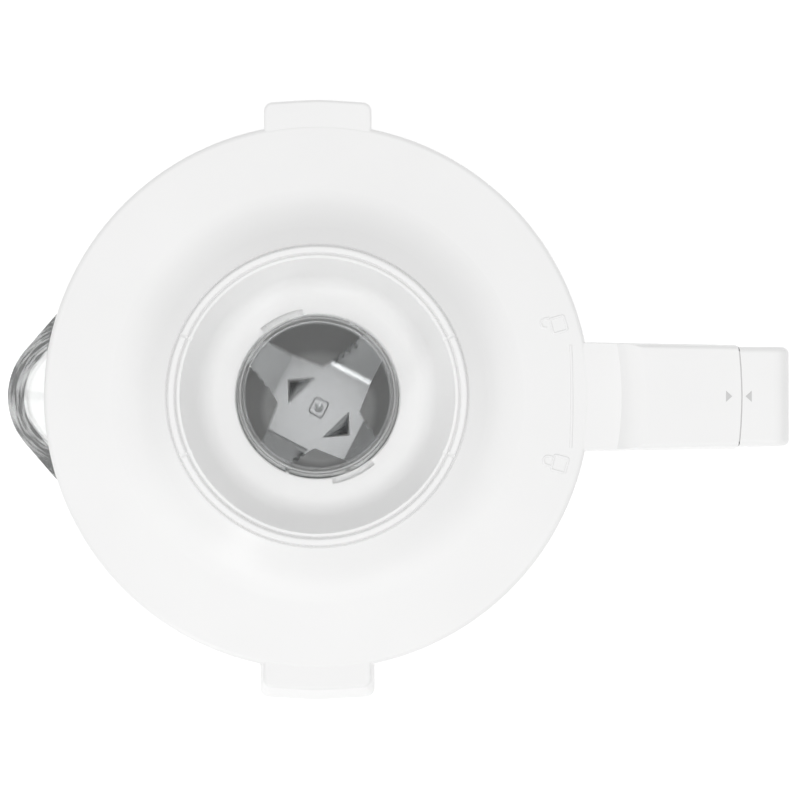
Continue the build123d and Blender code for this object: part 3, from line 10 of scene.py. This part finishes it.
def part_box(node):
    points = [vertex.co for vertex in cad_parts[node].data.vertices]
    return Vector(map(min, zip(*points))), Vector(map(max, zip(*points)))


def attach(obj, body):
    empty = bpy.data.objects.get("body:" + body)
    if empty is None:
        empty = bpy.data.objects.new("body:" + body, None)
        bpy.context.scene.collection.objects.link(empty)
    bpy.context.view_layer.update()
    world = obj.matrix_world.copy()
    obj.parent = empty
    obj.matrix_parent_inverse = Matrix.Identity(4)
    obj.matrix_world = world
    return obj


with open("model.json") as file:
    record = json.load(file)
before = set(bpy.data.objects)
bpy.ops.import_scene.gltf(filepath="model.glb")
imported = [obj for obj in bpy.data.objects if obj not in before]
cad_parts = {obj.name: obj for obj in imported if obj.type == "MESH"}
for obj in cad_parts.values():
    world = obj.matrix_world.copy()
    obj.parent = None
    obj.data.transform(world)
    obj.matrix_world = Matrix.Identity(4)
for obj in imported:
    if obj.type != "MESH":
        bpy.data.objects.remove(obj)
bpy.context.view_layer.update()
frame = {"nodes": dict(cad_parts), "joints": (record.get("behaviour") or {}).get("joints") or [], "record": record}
scene = bpy.context.scene
MM = 0.001

# Places taken from the frame: the glass rim, the arm's top and end, the lid's disc and the knob's axis
RIM_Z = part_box("glass_jug")[1][2]
ARM_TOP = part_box("handle_cover")[1][2]
ARM_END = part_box("lid")[1][0]
ARM_STEP = 3 * MM
LID_TOP = ARM_TOP - ARM_STEP
knob_turn = next(joint for joint in frame["joints"] if joint["name"] == "knob_turn")
KNOB_ORIGIN = Vector(knob_turn["pos_m"])
KNOB_AXIS = Vector(knob_turn["axis"])

# The glass above its foot: height and outer radius where its cone starts, slope and wall
GLASS_FLARE_Z = 196 * MM
GLASS_FLARE_R = 52.5 * MM
GLASS_SLOPE = 0.1025
GLASS_WALL = 4.4 * MM


# Helpers for the materials

LOOKS = {}
NOISE_LOW = 0.3
NOISE_HIGH = 0.7


def new_material(name, rgb, rough, metallic=0.0):
    """Adds a named material to LOOKS, and gives its node tree and its shader."""
    material = bpy.data.materials.new(name)
    material.use_nodes = True
    LOOKS[name] = material
    shader = material.node_tree.nodes["Principled BSDF"]
    shader.inputs["Base Color"].default_value = (*rgb, 1.0)
    shader.inputs["Roughness"].default_value = rough
    shader.inputs["Metallic"].default_value = metallic
    return material.node_tree, shader


def object_space(tree):
    """Places in the object's own space."""
    return tree.nodes.new("ShaderNodeTexCoord").outputs["Object"]


def noise(tree, scale, detail, stretch=(1, 1, 1), rough=0.55):
    """Noise in object space, in cycles per metre."""
    mapping = tree.nodes.new("ShaderNodeMapping")
    mapping.inputs["Scale"].default_value = stretch
    texture = tree.nodes.new("ShaderNodeTexNoise")
    texture.inputs["Scale"].default_value = scale
    texture.inputs["Detail"].default_value = detail
    texture.inputs["Roughness"].default_value = rough
    tree.links.new(object_space(tree), mapping.inputs["Vector"])
    tree.links.new(mapping.outputs["Vector"], texture.inputs["Vector"])
    return texture.outputs["Fac"]


def compute(tree, operation, first, second=None):
    """The result of a maths step on a socket and, if there is one, a second socket or a number."""
    node = tree.nodes.new("ShaderNodeMath")
    node.operation = operation
    tree.links.new(first, node.inputs[0])
    if isinstance(second, float):
        node.inputs[1].default_value = second
    elif second is not None:
        tree.links.new(second, node.inputs[1])
    return node.outputs["Value"]


def object_axes(tree, shift=0.0):
    """The x, y and z of a place, with x counted from a line that is shifted towards the spout."""
    moved = tree.nodes.new("ShaderNodeVectorMath")
    moved.inputs[1].default_value = (shift, 0, 0)
    parts = tree.nodes.new("ShaderNodeSeparateXYZ")
    tree.links.new(object_space(tree), moved.inputs[0])
    tree.links.new(moved.outputs["Vector"], parts.inputs["Vector"])
    return parts.outputs["X"], parts.outputs["Y"], parts.outputs["Z"]


def polar(tree, shift=0.0):
    """Radius, angle and height about the drive axis, or about an upright line shifted towards the spout."""
    x, y, height = object_axes(tree, shift)
    level = tree.nodes.new("ShaderNodeCombineXYZ")
    radius = tree.nodes.new("ShaderNodeVectorMath")
    radius.operation = "LENGTH"
    tree.links.new(x, level.inputs["X"])
    tree.links.new(y, level.inputs["Y"])
    tree.links.new(level.outputs["Vector"], radius.inputs[0])
    return radius.outputs["Value"], compute(tree, "ARCTAN2", x, y), height


def polar_noise(tree, shift, across, around, along, detail):
    """Noise round an upright line, in cycles per metre across and along and per radian around."""
    join = tree.nodes.new("ShaderNodeCombineXYZ")
    for value, count, axis in zip(polar(tree, shift), (across, around, along), "XYZ"):
        tree.links.new(compute(tree, "MULTIPLY", value, count), join.inputs[axis])
    texture = tree.nodes.new("ShaderNodeTexNoise")
    texture.inputs["Scale"].default_value = 1.0
    texture.inputs["Detail"].default_value = detail
    tree.links.new(join.outputs["Vector"], texture.inputs["Vector"])
    return texture.outputs["Fac"]


def rescale(tree, value, start, end, low=0.0, high=1.0):
    """Goes from low to high as a value goes from start to end."""
    node = tree.nodes.new("ShaderNodeMapRange")
    node.inputs["From Min"].default_value = start
    node.inputs["From Max"].default_value = end
    node.inputs["To Min"].default_value = low
    node.inputs["To Max"].default_value = high
    tree.links.new(value, node.inputs["Value"])
    return node.outputs["Result"]


def two_tones(tree, value, start, end, low, high):
    """Goes from one colour to another as a value goes from start to end."""
    node = tree.nodes.new("ShaderNodeValToRGB")
    points = node.color_ramp.elements
    points[0].position = start
    points[1].position = end
    points[0].color = (*low, 1)
    points[1].color = (*high, 1)
    tree.links.new(value, node.inputs["Fac"])
    return node.outputs["Color"]


def grey_steps(tree, value, span, stops):
    """A grey by stops of (value, grey), all of them within a span of the value."""
    low, high = span
    node = tree.nodes.new("ShaderNodeValToRGB")
    points = node.color_ramp.elements
    while len(points) < len(stops):
        points.new(1.0)
    for point, (at, grey) in zip(points, stops):
        point.position = (at - low) / (high - low)
        point.color = (grey, grey, grey, 1)
    tree.links.new(rescale(tree, value, low, high), node.inputs["Fac"])
    return node.outputs["Color"]


def vary_colour(tree, shader, value, rgb, low, high):
    """Colour between two shades of one tone, by a noise."""
    darker = tuple(min(1.0, c * low) for c in rgb)
    lighter = tuple(min(1.0, c * high) for c in rgb)
    colour = two_tones(tree, value, NOISE_LOW, NOISE_HIGH, darker, lighter)
    tree.links.new(colour, shader.inputs["Base Color"])


def vary_rough(tree, shader, value, low, high):
    """Roughness between two values, by a noise."""
    tree.links.new(rescale(tree, value, NOISE_LOW, NOISE_HIGH, low, high), shader.inputs["Roughness"])


def bump(tree, shader, value, strength, height):
    """Fine relief from a noise."""
    node = tree.nodes.new("ShaderNodeBump")
    node.inputs["Strength"].default_value = strength
    node.inputs["Distance"].default_value = height
    tree.links.new(value, node.inputs["Height"])
    tree.links.new(node.outputs["Normal"], shader.inputs["Normal"])


# Kinds of material

PLASTIC_IOR = 1.48
GLOSS_DRIFT = 0.035
RUBBER_DRIFT = 0.1


def plastic(name, rgb, rough, grain, depth, spread=0.015):
    """Moulded plastic: faint tone drift, uneven gloss and a fine grain."""
    tree, shader = new_material(name, rgb, rough)
    drift = noise(tree, scale=22.0, detail=3.0)
    vary_colour(tree, shader, drift, rgb, 1 - spread, 1 + spread)
    vary_rough(tree, shader, drift, rough - GLOSS_DRIFT, rough + GLOSS_DRIFT)
    bump(tree, shader, noise(tree, scale=grain, detail=6.0), strength=0.25, height=depth)
    shader.inputs["IOR"].default_value = PLASTIC_IOR


def metal(name, rgb, rough, stretch, scale, depth=0.03 * MM, spread=0.11):
    """Brushed or ground metal: streaks along one direction."""
    tree, shader = new_material(name, rgb, rough, metallic=1.0)
    streak = noise(tree, scale, detail=5.0, stretch=stretch, rough=0.65)
    vary_colour(tree, shader, streak, rgb, 1 - spread, 1 + spread)
    vary_rough(tree, shader, streak, rough - 0.5 * spread, rough + spread)
    bump(tree, shader, streak, strength=0.35, height=depth)


def rubber(name, rgb, rough=0.75):
    """Matt rubber with a soft bloom."""
    tree, shader = new_material(name, rgb, rough)
    dust = noise(tree, scale=180.0, detail=6.0)
    vary_colour(tree, shader, dust, rgb, low=0.8, high=1.35)
    vary_rough(tree, shader, dust, rough - RUBBER_DRIFT, rough + RUBBER_DRIFT)
    bump(tree, shader, dust, strength=0.4, height=0.06 * MM)


def clear(name, rgb, ior, ripple, depth, absorb, density, through, coat=0.0):
    """Clear glass or plastic that darkens along a long path, with a faint ripple."""
    tree, shader = new_material(name, rgb, rough=0.0)
    shader.inputs["Transmission Weight"].default_value = 1.0
    shader.inputs["Alpha"].default_value = 1 - through
    shader.inputs["Coat Weight"].default_value = coat
    shader.inputs["IOR"].default_value = ior
    bump(tree, shader, noise(tree, scale=ripple, detail=2.0), strength=0.12, height=depth)
    body = tree.nodes.new("ShaderNodeVolumeAbsorption")
    body.inputs["Color"].default_value = (*absorb, 1)
    body.inputs["Density"].default_value = density
    tree.links.new(body.outputs["Volume"], tree.nodes["Material Output"].inputs["Volume"])
    return tree, shader


# Painted shade on the lip of the glass: dark grey streaks about the spout's line, darker still on its flanks
GLASS_TINT = (0.97, 0.985, 0.98)
LIP_DEPTH = 4 * MM
SPOUT_SHIFT = 66 * MM
FLANK_START = 12 * MM
FLANK_END = 24 * MM
FLANK_SHADE = 0.12
LIP_SHADE_LOW = 0.44
LIP_SHADE_HIGH = 0.68
LIP_SHADE_DARK = (0.006, 0.0065, 0.0065)
LIP_SHADE_LIGHT = (0.68, 0.69, 0.69)


def streak_lip(tree, shader):
    """Painted shade: grey streaks that run round the thick lip of a glass, fading out below it."""
    streak = polar_noise(tree, SPOUT_SHIFT, across=1300.0, around=2.0, along=60.0, detail=3.0)
    beside = compute(tree, "ABSOLUTE", object_axes(tree)[1])
    flank = rescale(tree, beside, FLANK_START, FLANK_END, high=FLANK_SHADE)
    streak = compute(tree, "SUBTRACT", streak, flank)
    mix = tree.nodes.new("ShaderNodeMix")
    mix.data_type = "RGBA"
    mix.inputs["A"].default_value = (*GLASS_TINT, 1)
    # Painted shade: the dark and lighter greys of the lip's streaks
    grey = two_tones(tree, streak, LIP_SHADE_LOW, LIP_SHADE_HIGH, LIP_SHADE_DARK, LIP_SHADE_LIGHT)
    tree.links.new(rescale(tree, object_axes(tree)[2], RIM_Z - LIP_DEPTH, RIM_Z), mix.inputs["Factor"])
    tree.links.new(grey, mix.inputs["B"])
    tree.links.new(mix.outputs["Result"], shader.inputs["Base Color"])


# How clear the filler cap is by radius: its top, its wall, its rounded edge and the wall outside that. The less
# clear stops show the white as a painted highlight ring on the wall and the rounded edge
CAP_SPAN = (19 * MM, 23 * MM)
CAP_CLEARNESS = [
    (19.8 * MM, 1.0), (20.4 * MM, 0.86), (20.6 * MM, 0.86),
    (20.7 * MM, 0.40), (21.0 * MM, 0.40), (21.1 * MM, 0.86),
]


def frost_rim(tree, shader):
    """Paints a highlight on a clear cup: its wall a little and its rounded edge more are made less clear, so that
    they show lighter, and its top stays clear.
    """
    clearness = grey_steps(tree, polar(tree)[0], CAP_SPAN, CAP_CLEARNESS)
    tree.links.new(clearness, shader.inputs["Transmission Weight"])


# Painted light on the bowl by radius: a lighter floor, a painted highlight on the bend and painted shade on the
# wall
BOWL_ROUGH = 0.36
BOWL_DRIFT = 0.06
BOWL_GREY = (0.4, 0.4, 0.4)
BOWL_SPAN = (0.0, 50 * MM)
BOWL_SHADE_STOPS = [
    (0.0, 0.70), (15.5 * MM, 0.74), (17.2 * MM, 0.85), (19.5 * MM, 0.48), (34 * MM, 0.26),
]


def bowl(name):
    """Satin grey bowl with painted light: a light floor, a painted highlight on the bend and painted shade on the
    wall.
    """
    tree, shader = new_material(name, BOWL_GREY, BOWL_ROUGH)
    # Painted shade and highlight: greys by radius for the floor, the bend and the wall
    grey = grey_steps(tree, polar(tree)[0], BOWL_SPAN, BOWL_SHADE_STOPS)
    tree.links.new(grey, shader.inputs["Base Color"])
    fine = noise(tree, scale=2000.0, detail=6.0)
    vary_rough(tree, shader, fine, BOWL_ROUGH - BOWL_DRIFT, BOWL_ROUGH + BOWL_DRIFT)
    bump(tree, shader, fine, strength=0.2, height=0.02 * MM)


# Materials of the nodes and the marks: colour, roughness and what varies them

plastic("white_plastic", (0.90, 0.90, 0.898), 0.32, grain=2600.0, depth=0.02 * MM)
plastic("grey_plastic", (0.20, 0.205, 0.21), 0.42, grain=2200.0, depth=0.04 * MM, spread=0.05)
plastic("black_plastic", (0.022, 0.022, 0.024), 0.40, grain=2200.0, depth=0.04 * MM, spread=0.08)
plastic("mark_grey", (0.62, 0.62, 0.62), 0.5, grain=1800.0, depth=0.01 * MM)
plastic("mark_dark", (0.07, 0.07, 0.075), 0.5, grain=1800.0, depth=0.01 * MM, spread=0.05)
plastic("scale_print", (0.40, 0.40, 0.40), 0.55, grain=1800.0, depth=0.02 * MM)
metal("blade_steel", (0.365, 0.37, 0.375), 0.15, (1, 4, 1), scale=300.0, depth=0.001 * MM, spread=0.03)
metal("shaft_steel", (0.55, 0.56, 0.58), 0.22, (1, 1, 30), scale=90.0)
metal("screw_steel", (0.50, 0.51, 0.53), 0.30, (6, 6, 1), scale=300.0)
metal("bezel_metal", (0.72, 0.73, 0.74), 0.26, (18, 1, 1), scale=120.0, spread=0.05)
metal("bracket_metal", (0.58, 0.59, 0.60), 0.45, (1, 1, 1), scale=900.0, depth=0.08 * MM)
metal("bronze", (0.52, 0.34, 0.16), 0.38, (1, 1, 1), scale=1200.0, depth=0.05 * MM)
metal("copper", (0.62, 0.28, 0.13), 0.33, (1, 1, 40), scale=60.0, depth=0.1 * MM)
metal("brush_brass", (0.66, 0.48, 0.20), 0.32, (8, 1, 1), scale=200.0)
metal("laminations", (0.24, 0.24, 0.25), 0.5, (1, 1, 60), scale=40.0, depth=0.1 * MM)
rubber("carbon", (0.02, 0.02, 0.021), 0.6)
rubber("black_rubber", (0.022, 0.022, 0.023))
rubber("clear_silicone", (0.62, 0.62, 0.60), 0.5)
bowl("bowl_painted_shade")
# The jug's glass, with painted shade in grey streaks on its lip
streak_lip(*clear(
    "jug_glass", GLASS_TINT, ior=1.5, ripple=35.0, depth=0.6 * MM,
    absorb=(0.45, 0.50, 0.50), density=4.0, through=0.18,
))
# The filler cap's clear plastic, with a painted highlight ring on its wall and rounded edge
frost_rim(*clear(
    "clear_plastic", (0.99, 0.995, 0.995), ior=1.12, ripple=60.0, depth=0.01 * MM,
    absorb=(0.5, 0.52, 0.52), density=0.6, through=0.5, coat=0.5,
))

# Each node takes the material of its slot, apart from the bowl around the blade, whose grey holds painted shade
# and a painted highlight
OWN_LOOK = {"blade_carrier": "bowl_painted_shade"}
for entry in frame["record"]["subparts"]:
    node = frame["nodes"][entry["node"]]
    node.data.materials.clear()
    node.data.materials.append(LOOKS[OWN_LOOK.get(entry["node"], entry["material_slot"])])


# Helpers for small raised and printed pieces

IN_PLACE = Matrix.Identity(4)
DOWN = Vector((0, 0, -1))
ABOVE_ALL = 1.0
CORNER_STEPS = 4
ARC_STEPS = 24


def new_mesh(name, verts, faces):
    """A mesh of corners and faces."""
    mesh = bpy.data.meshes.new(name)
    mesh.from_pydata(verts, [], faces)
    mesh.update()
    return mesh


def place(mesh, name, look, body, matrix=IN_PLACE, smooth=True):
    """Sets a finished mesh in place on a body."""
    mesh.transform(matrix)
    mesh.materials.clear()
    mesh.materials.append(LOOKS[look])
    for poly in mesh.polygons:
        poly.use_smooth = smooth
    mesh.name = name
    obj = bpy.data.objects.new(name, mesh)
    scene.collection.objects.link(obj)
    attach(obj, body)


def curve_mesh(curve):
    """The mesh of a curve or text, whose own object is then removed."""
    obj = bpy.data.objects.new("shape", curve)
    scene.collection.objects.link(obj)
    bpy.context.view_layer.update()
    mesh = bpy.data.meshes.new_from_object(obj.evaluated_get(bpy.context.evaluated_depsgraph_get()))
    bpy.data.objects.remove(obj)
    return mesh


def bead_mesh(lines, radius, flat=0.55):
    """Round beads along lines of points, pressed flat in z."""
    curve = bpy.data.curves.new("beads", "CURVE")
    curve.dimensions = "3D"
    curve.bevel_depth = radius
    curve.bevel_resolution = 3
    curve.use_fill_caps = True
    for points, closed in lines:
        spline = curve.splines.new("POLY")
        spline.points.add(len(points) - 1)
        for point, (x, y) in zip(spline.points, points):
            point.co = (x, y, 0, 1)
        spline.use_cyclic_u = closed
    mesh = curve_mesh(curve)
    for v in mesh.vertices:
        v.co.z *= flat
    return mesh


def text_mesh(words, size, thick, bold=0.0):
    """Plain figures as a thin mesh, centred, with strokes widened by bold."""
    curve = bpy.data.curves.new("figures", "FONT")
    curve.body = words
    curve.size = size
    curve.extrude = thick
    curve.offset = bold
    curve.align_x = "CENTER"
    curve.align_y = "CENTER"
    curve.resolution_u = 4
    return curve_mesh(curve)


def bar_mesh(width, height, thick, n=12):
    """A thin bar of n segments, so that it can bend."""
    verts = []
    for i in range(n + 1):
        x = -width / 2 + width * i / n
        verts += [(x, -height / 2, 0), (x, height / 2, 0), (x, height / 2, thick), (x, -height / 2, thick)]
    faces = [(0, 1, 2, 3), (4 * n + 3, 4 * n + 2, 4 * n + 1, 4 * n)]
    for i in range(n):
        a, b = 4 * i, 4 * i + 4
        faces += [(a + k, b + k, b + (k + 1) % 4, a + (k + 1) % 4) for k in range(4)]
    return new_mesh("bar", verts, faces)


def prism(name, outline, z0, z1, look, body, matrix=IN_PLACE):
    """A thin flat piece with a given outline."""
    n = len(outline)
    verts = [(x, y, z0) for x, y in outline] + [(x, y, z1) for x, y in outline]
    faces = [tuple(reversed(range(n))), tuple(range(n, 2 * n))]
    faces += [(i, (i + 1) % n, n + (i + 1) % n, n + i) for i in range(n)]
    place(new_mesh(name, verts, faces), name, look, body, matrix, smooth=False)


def arc(cx, cy, r, a0, a1, n):
    """Points along a circle's arc, in degrees."""
    steps = [math.radians(a0 + (a1 - a0) * i / n) for i in range(n + 1)]
    return [(cx + r * math.cos(a), cy + r * math.sin(a)) for a in steps]


def circle(r, n):
    """n points around a circle about the origin."""
    return arc(0, 0, r, 0, 360 - 360 / n, n - 1)


def rounded_box(x0, x1, y0, y1, r):
    """Outline of a rectangle with round corners."""
    centres = [(x1 - r, y1 - r), (x0 + r, y1 - r), (x0 + r, y0 + r), (x1 - r, y0 + r)]
    outline = []
    for quarter, (cx, cy) in enumerate(centres):
        outline += arc(cx, cy, r, 90 * quarter, 90 * quarter + 90, CORNER_STEPS)
    return outline


def drape(mesh, node):
    """Sets the foot of a flat mesh on the top of a node."""
    surface = BVHTree.FromObject(frame["nodes"][node], bpy.context.evaluated_depsgraph_get())
    for v in mesh.vertices:
        v.co.z += surface.ray_cast(Vector((v.co.x, v.co.y, ABOVE_ALL)), DOWN)[0].z


def axes_matrix(x, y, z, origin):
    """The matrix of three axes and an origin."""
    matrix = Matrix((x, y, z)).transposed().to_4x4()
    matrix.translation = origin
    return matrix


# Raised padlocks on the lid and the stop line beside the arm

MARK_BEAD = 0.36 * MM
MARK_RADIUS = 69.0 * MM
OPEN_ANGLE = 16.6
CLOSED_ANGLE = -15.6
LOCK_X = 2.0 * MM
LOCK_Y = 2.1 * MM
LOCK_CORNER = 0.5 * MM
SHACKLE_R = 1.25 * MM
SHACKLE_X = 3.4 * MM
SHACKLE_SHIFT = 1.3 * MM
SHACKLE_STEPS = 10
STOP_BEAD = 0.40 * MM
STOP_X = 69.8 * MM
STOP_BOW = 300 * MM
STOP_HALF_ANGLE = 2.7


def padlock(name, angle, opened):
    """A plain padlock outline, its body outward and its shackle inward."""
    body = rounded_box(-LOCK_X, LOCK_X, -LOCK_Y, LOCK_Y, LOCK_CORNER)
    shift = SHACKLE_SHIFT if opened else 0.0
    shackle = [(-LOCK_X, SHACKLE_R + shift), (-SHACKLE_X, SHACKLE_R + shift)]
    shackle += arc(-SHACKLE_X, shift, SHACKLE_R, 90, 270, SHACKLE_STEPS)[1:]
    if not opened:
        shackle.append((-LOCK_X, -SHACKLE_R))
    mesh = bead_mesh([(body, True), (shackle, False)], MARK_BEAD)
    mesh.transform(Matrix.Rotation(math.radians(angle), 4, "Z") @ Matrix.Translation((MARK_RADIUS, 0, 0)))
    drape(mesh, "lid")
    place(mesh, name, "white_plastic", "lid")


padlock("lid_mark_open", OPEN_ANGLE, True)
padlock("lid_mark_closed", CLOSED_ANGLE, False)
stop_line = arc(STOP_X - STOP_BOW, 0, STOP_BOW, -STOP_HALF_ANGLE, STOP_HALF_ANGLE, ARC_STEPS)
stop = bead_mesh([(stop_line, False)], STOP_BEAD)
drape(stop, "lid")
place(stop, "lid_stop_line", "white_plastic", "lid")


# Alignment arrows on the arm and the handle

ARROW_X = 0.85 * MM
ARROW_Y = 1.55 * MM
ARROW_SUNK = 0.05 * MM
ARROW_PROUD = 0.04 * MM
ARROW_BEFORE_END = 3.35 * MM
ARROW_PAST_END = 2.0 * MM


def arrow(name, x, way, body):
    """A small flat triangle that points along x."""
    tail = x - way * ARROW_X
    outline = [(tail, -ARROW_Y), (x + way * ARROW_X, 0), (tail, ARROW_Y)]
    if way < 0:
        outline.reverse()
    prism(name, outline, ARM_TOP - ARROW_SUNK, ARM_TOP + ARROW_PROUD, "mark_grey", body)


arrow("arm_arrow", ARM_END - ARROW_BEFORE_END, 1, "lid")
arrow("handle_arrow", ARM_END + ARROW_PAST_END, -1, "jug")


# Thin lip of the handle that stands in the seam just past the arm's end

SEAM_INNER = ARM_END + 0.06 * MM
SEAM_OUTER = ARM_END + 0.25 * MM
SEAM_HALF_ANGLE = 6.1
SEAM_FOOT = ARM_TOP - 2.5 * MM
SEAM_TOP = ARM_TOP - 0.4 * MM
seam_lip = arc(0, 0, SEAM_OUTER, -SEAM_HALF_ANGLE, SEAM_HALF_ANGLE, ARC_STEPS)
seam_lip += arc(0, 0, SEAM_INNER, SEAM_HALF_ANGLE, -SEAM_HALF_ANGLE, ARC_STEPS)
prism("handle_seam_lip", seam_lip, SEAM_FOOT, SEAM_TOP, "white_plastic", "jug")


# Dial marks on the bezel and the pointer on the knob

ACROSS = Vector((1, 0, 0))
DIAL = axes_matrix(ACROSS, KNOB_AXIS.cross(ACROSS), KNOB_AXIS, KNOB_ORIGIN)
BEZEL_FACE = 2.2 * MM
DIAL_RADIUS = 23.8 * MM
DIAL_FIGURES = 5
DIAL_STEP = 33.75
PULSE_ANGLE = -45
DIAL_SIZE = 4.2 * MM
DIAL_BOLD = 0.09 * MM
PRINT_THICK = 0.03 * MM
DOT_R = 0.5 * MM
DOT_SIDES = 16
DOT_SUNK = 0.02 * MM
DOT_PROUD = 0.04 * MM
PULSE_R = 1.25 * MM
PULSE_SIDES = 24
PULSE_BEAD = 0.2 * MM
PULSE_FLAT = 0.3
POINTER_HALF = 0.85 * MM
POINTER_START = 6.1 * MM
POINTER_END = 15.4 * MM
POINTER_CORNER = 0.3 * MM
POINTER_FOOT = 12.15 * MM
POINTER_TOP = 12.6 * MM


def on_dial(angle):
    """A place among the dial's marks on the bezel's face, upright to the dial's own top."""
    a = math.radians(90 - angle)
    return DIAL @ Matrix.Translation((DIAL_RADIUS * math.cos(a), DIAL_RADIUS * math.sin(a), BEZEL_FACE))


for step in range(DIAL_FIGURES):
    at = on_dial(DIAL_STEP * step)
    figure = text_mesh(str(step), DIAL_SIZE, PRINT_THICK, DIAL_BOLD)
    place(figure, f"dial_figure_{step}", "mark_dark", "base", at, smooth=False)
    if step < DIAL_FIGURES - 1:
        at = on_dial(DIAL_STEP * (step + 0.5))
        dot = circle(DOT_R, DOT_SIDES)
        prism(f"dial_dot_{step}", dot, -DOT_SUNK, DOT_PROUD, "mark_dark", "base", at)
pulse = bead_mesh([(circle(PULSE_R, PULSE_SIDES), True)], PULSE_BEAD, PULSE_FLAT)
place(pulse, "dial_pulse_ring", "mark_dark", "base", on_dial(PULSE_ANGLE))
pointer = rounded_box(-POINTER_HALF, POINTER_HALF, POINTER_START, POINTER_END, POINTER_CORNER)
prism("knob_pointer", pointer, POINTER_FOOT, POINTER_TOP, "mark_grey", "knob", DIAL)


# Volume scale printed on the glass, in millilitres

HELD_BELOW_FLARE = 105.0
ML_IN_CUBIC_METRE = 1e6
LEVEL_STEP = 0.5 * MM
SCALE_STEP = 250
SCALE_TOP = 1250
SCALE_AZIMUTH = -112.0
FIGURE_TURN = 14.0
SHORT_TICK_TURN = -2.4
PRINT_GAP = 0.05 * MM
TICK_THICK = 0.06 * MM
LONG_TICK = (11 * MM, 0.7 * MM)
SHORT_TICK = (6 * MM, 0.55 * MM)
SCALE_SIZE = 6.2 * MM


def outer_radius(z):
    """Radius of the glass's outside at a height."""
    return GLASS_FLARE_R + GLASS_SLOPE * (z - GLASS_FLARE_Z)


def level_of(millilitres):
    """Height at which the jug holds a volume."""
    held = HELD_BELOW_FLARE
    z = GLASS_FLARE_Z
    while held < millilitres:
        held += math.pi * (outer_radius(z) - GLASS_WALL) ** 2 * LEVEL_STEP * ML_IN_CUBIC_METRE
        z += LEVEL_STEP
    return z


def print_on_glass(mesh, name, azimuth, z0):
    """Bends a flat mesh around the glass, centred on an azimuth, and sets it there as print."""
    for v in mesh.vertices:
        x, y, thick = v.co
        z = z0 + y
        r = outer_radius(z) + PRINT_GAP + thick
        a = math.radians(azimuth) + x / r
        v.co = (r * math.cos(a), r * math.sin(a), z)
    place(mesh, name, "scale_print", "jug", smooth=False)


for ml in range(SCALE_STEP, SCALE_TOP + 1, SCALE_STEP):
    z = level_of(ml)
    print_on_glass(bar_mesh(*LONG_TICK, TICK_THICK), f"scale_tick_{ml}", SCALE_AZIMUTH, z)
    figures = text_mesh(str(ml), SCALE_SIZE, PRINT_THICK)
    print_on_glass(figures, f"scale_figure_{ml}", SCALE_AZIMUTH + FIGURE_TURN, z)
    if ml < SCALE_TOP:
        half = ml + SCALE_STEP // 2
        tick = bar_mesh(*SHORT_TICK, TICK_THICK)
        print_on_glass(tick, f"scale_tick_{half}", SCALE_AZIMUTH + SHORT_TICK_TURN, level_of(half))


# Floor and light

FLOOR_HALF = 30
FLOOR_WHITE = (0.93, 0.93, 0.93)
FLOOR_ROUGH = 0.9
FLOOR_GLOW = 0.33
SKY_LIGHT = 0.55
AT_LID = (0, 0, 0.35)
AT_BLADE = (0, 0, 0.2)

corners = [(-1, -1), (1, -1), (1, 1), (-1, 1)]
floor = new_mesh("floor", [(x * FLOOR_HALF, y * FLOOR_HALF, 0) for x, y in corners], [(0, 1, 2, 3)])
floor_obj = bpy.data.objects.new("floor", floor)
scene.collection.objects.link(floor_obj)
floor_shader = new_material("floor", FLOOR_WHITE, FLOOR_ROUGH)[1]
floor_shader.inputs["Emission Color"].default_value = (1, 1, 1, 1)
floor_shader.inputs["Emission Strength"].default_value = FLOOR_GLOW
floor.materials.append(LOOKS["floor"])

world = bpy.data.worlds.new("studio")
world.use_nodes = True
sky = world.node_tree.nodes["Background"]
sky.inputs["Color"].default_value = (1, 1, 1, 1)
sky.inputs["Strength"].default_value = SKY_LIGHT
scene.world = world


def area_light(name, at, aim, size, power):
    """A soft rectangular light that looks at a point."""
    light = bpy.data.lights.new(name, "AREA")
    light.shape = "RECTANGLE"
    light.size, light.size_y = size
    light.energy = power
    obj = bpy.data.objects.new(name, light)
    obj.location = at
    obj.rotation_euler = (Vector(aim) - Vector(at)).to_track_quat("-Z", "Y").to_euler()
    scene.collection.objects.link(obj)


area_light("key", (0.1, -0.9, 2.2), AT_LID, size=(1.2, 1.0), power=5.0)
area_light("side", (-0.53, -1.02, 1.16), AT_BLADE, size=(0.16, 1.2), power=3.1)
area_light("fill_left", (-1.1, 0.0, 1.7), AT_LID, size=(0.9, 0.9), power=1.9)
area_light("fill_right", (1.1, 0.0, 1.7), AT_LID, size=(0.9, 0.9), power=2.5)
area_light("top", (-0.1, 0.15, 2.6), AT_LID, size=(1.6, 1.6), power=8.0)


# Camera almost straight above the lid, with the picture's top towards +y

CAMERA_LENS = 164.1
CAMERA_SENSOR = 36.0
CAMERA_REACH = 60.0
CAMERA_HEIGHT = 1.0
CAMERA_SPOT = Vector((2 * MM, -20 * MM, LID_TOP + CAMERA_HEIGHT))
CAMERA_TARGET = Vector((22.6 * MM, -1 * MM, LID_TOP))

camera = bpy.data.cameras.new("camera")
camera.lens = CAMERA_LENS
camera.sensor_width = CAMERA_SENSOR
camera.clip_end = CAMERA_REACH
eye = bpy.data.objects.new("camera", camera)
ahead = (CAMERA_TARGET - CAMERA_SPOT).normalized()
right = ahead.cross(Vector((0, 1, 0))).normalized()
eye.matrix_world = axes_matrix(right, right.cross(ahead), -ahead, CAMERA_SPOT)
scene.collection.objects.link(eye)
scene.camera = eye
scene.view_settings.view_transform = "Standard"
scene.view_settings.look = "None"

bpy.context.view_layer.update()
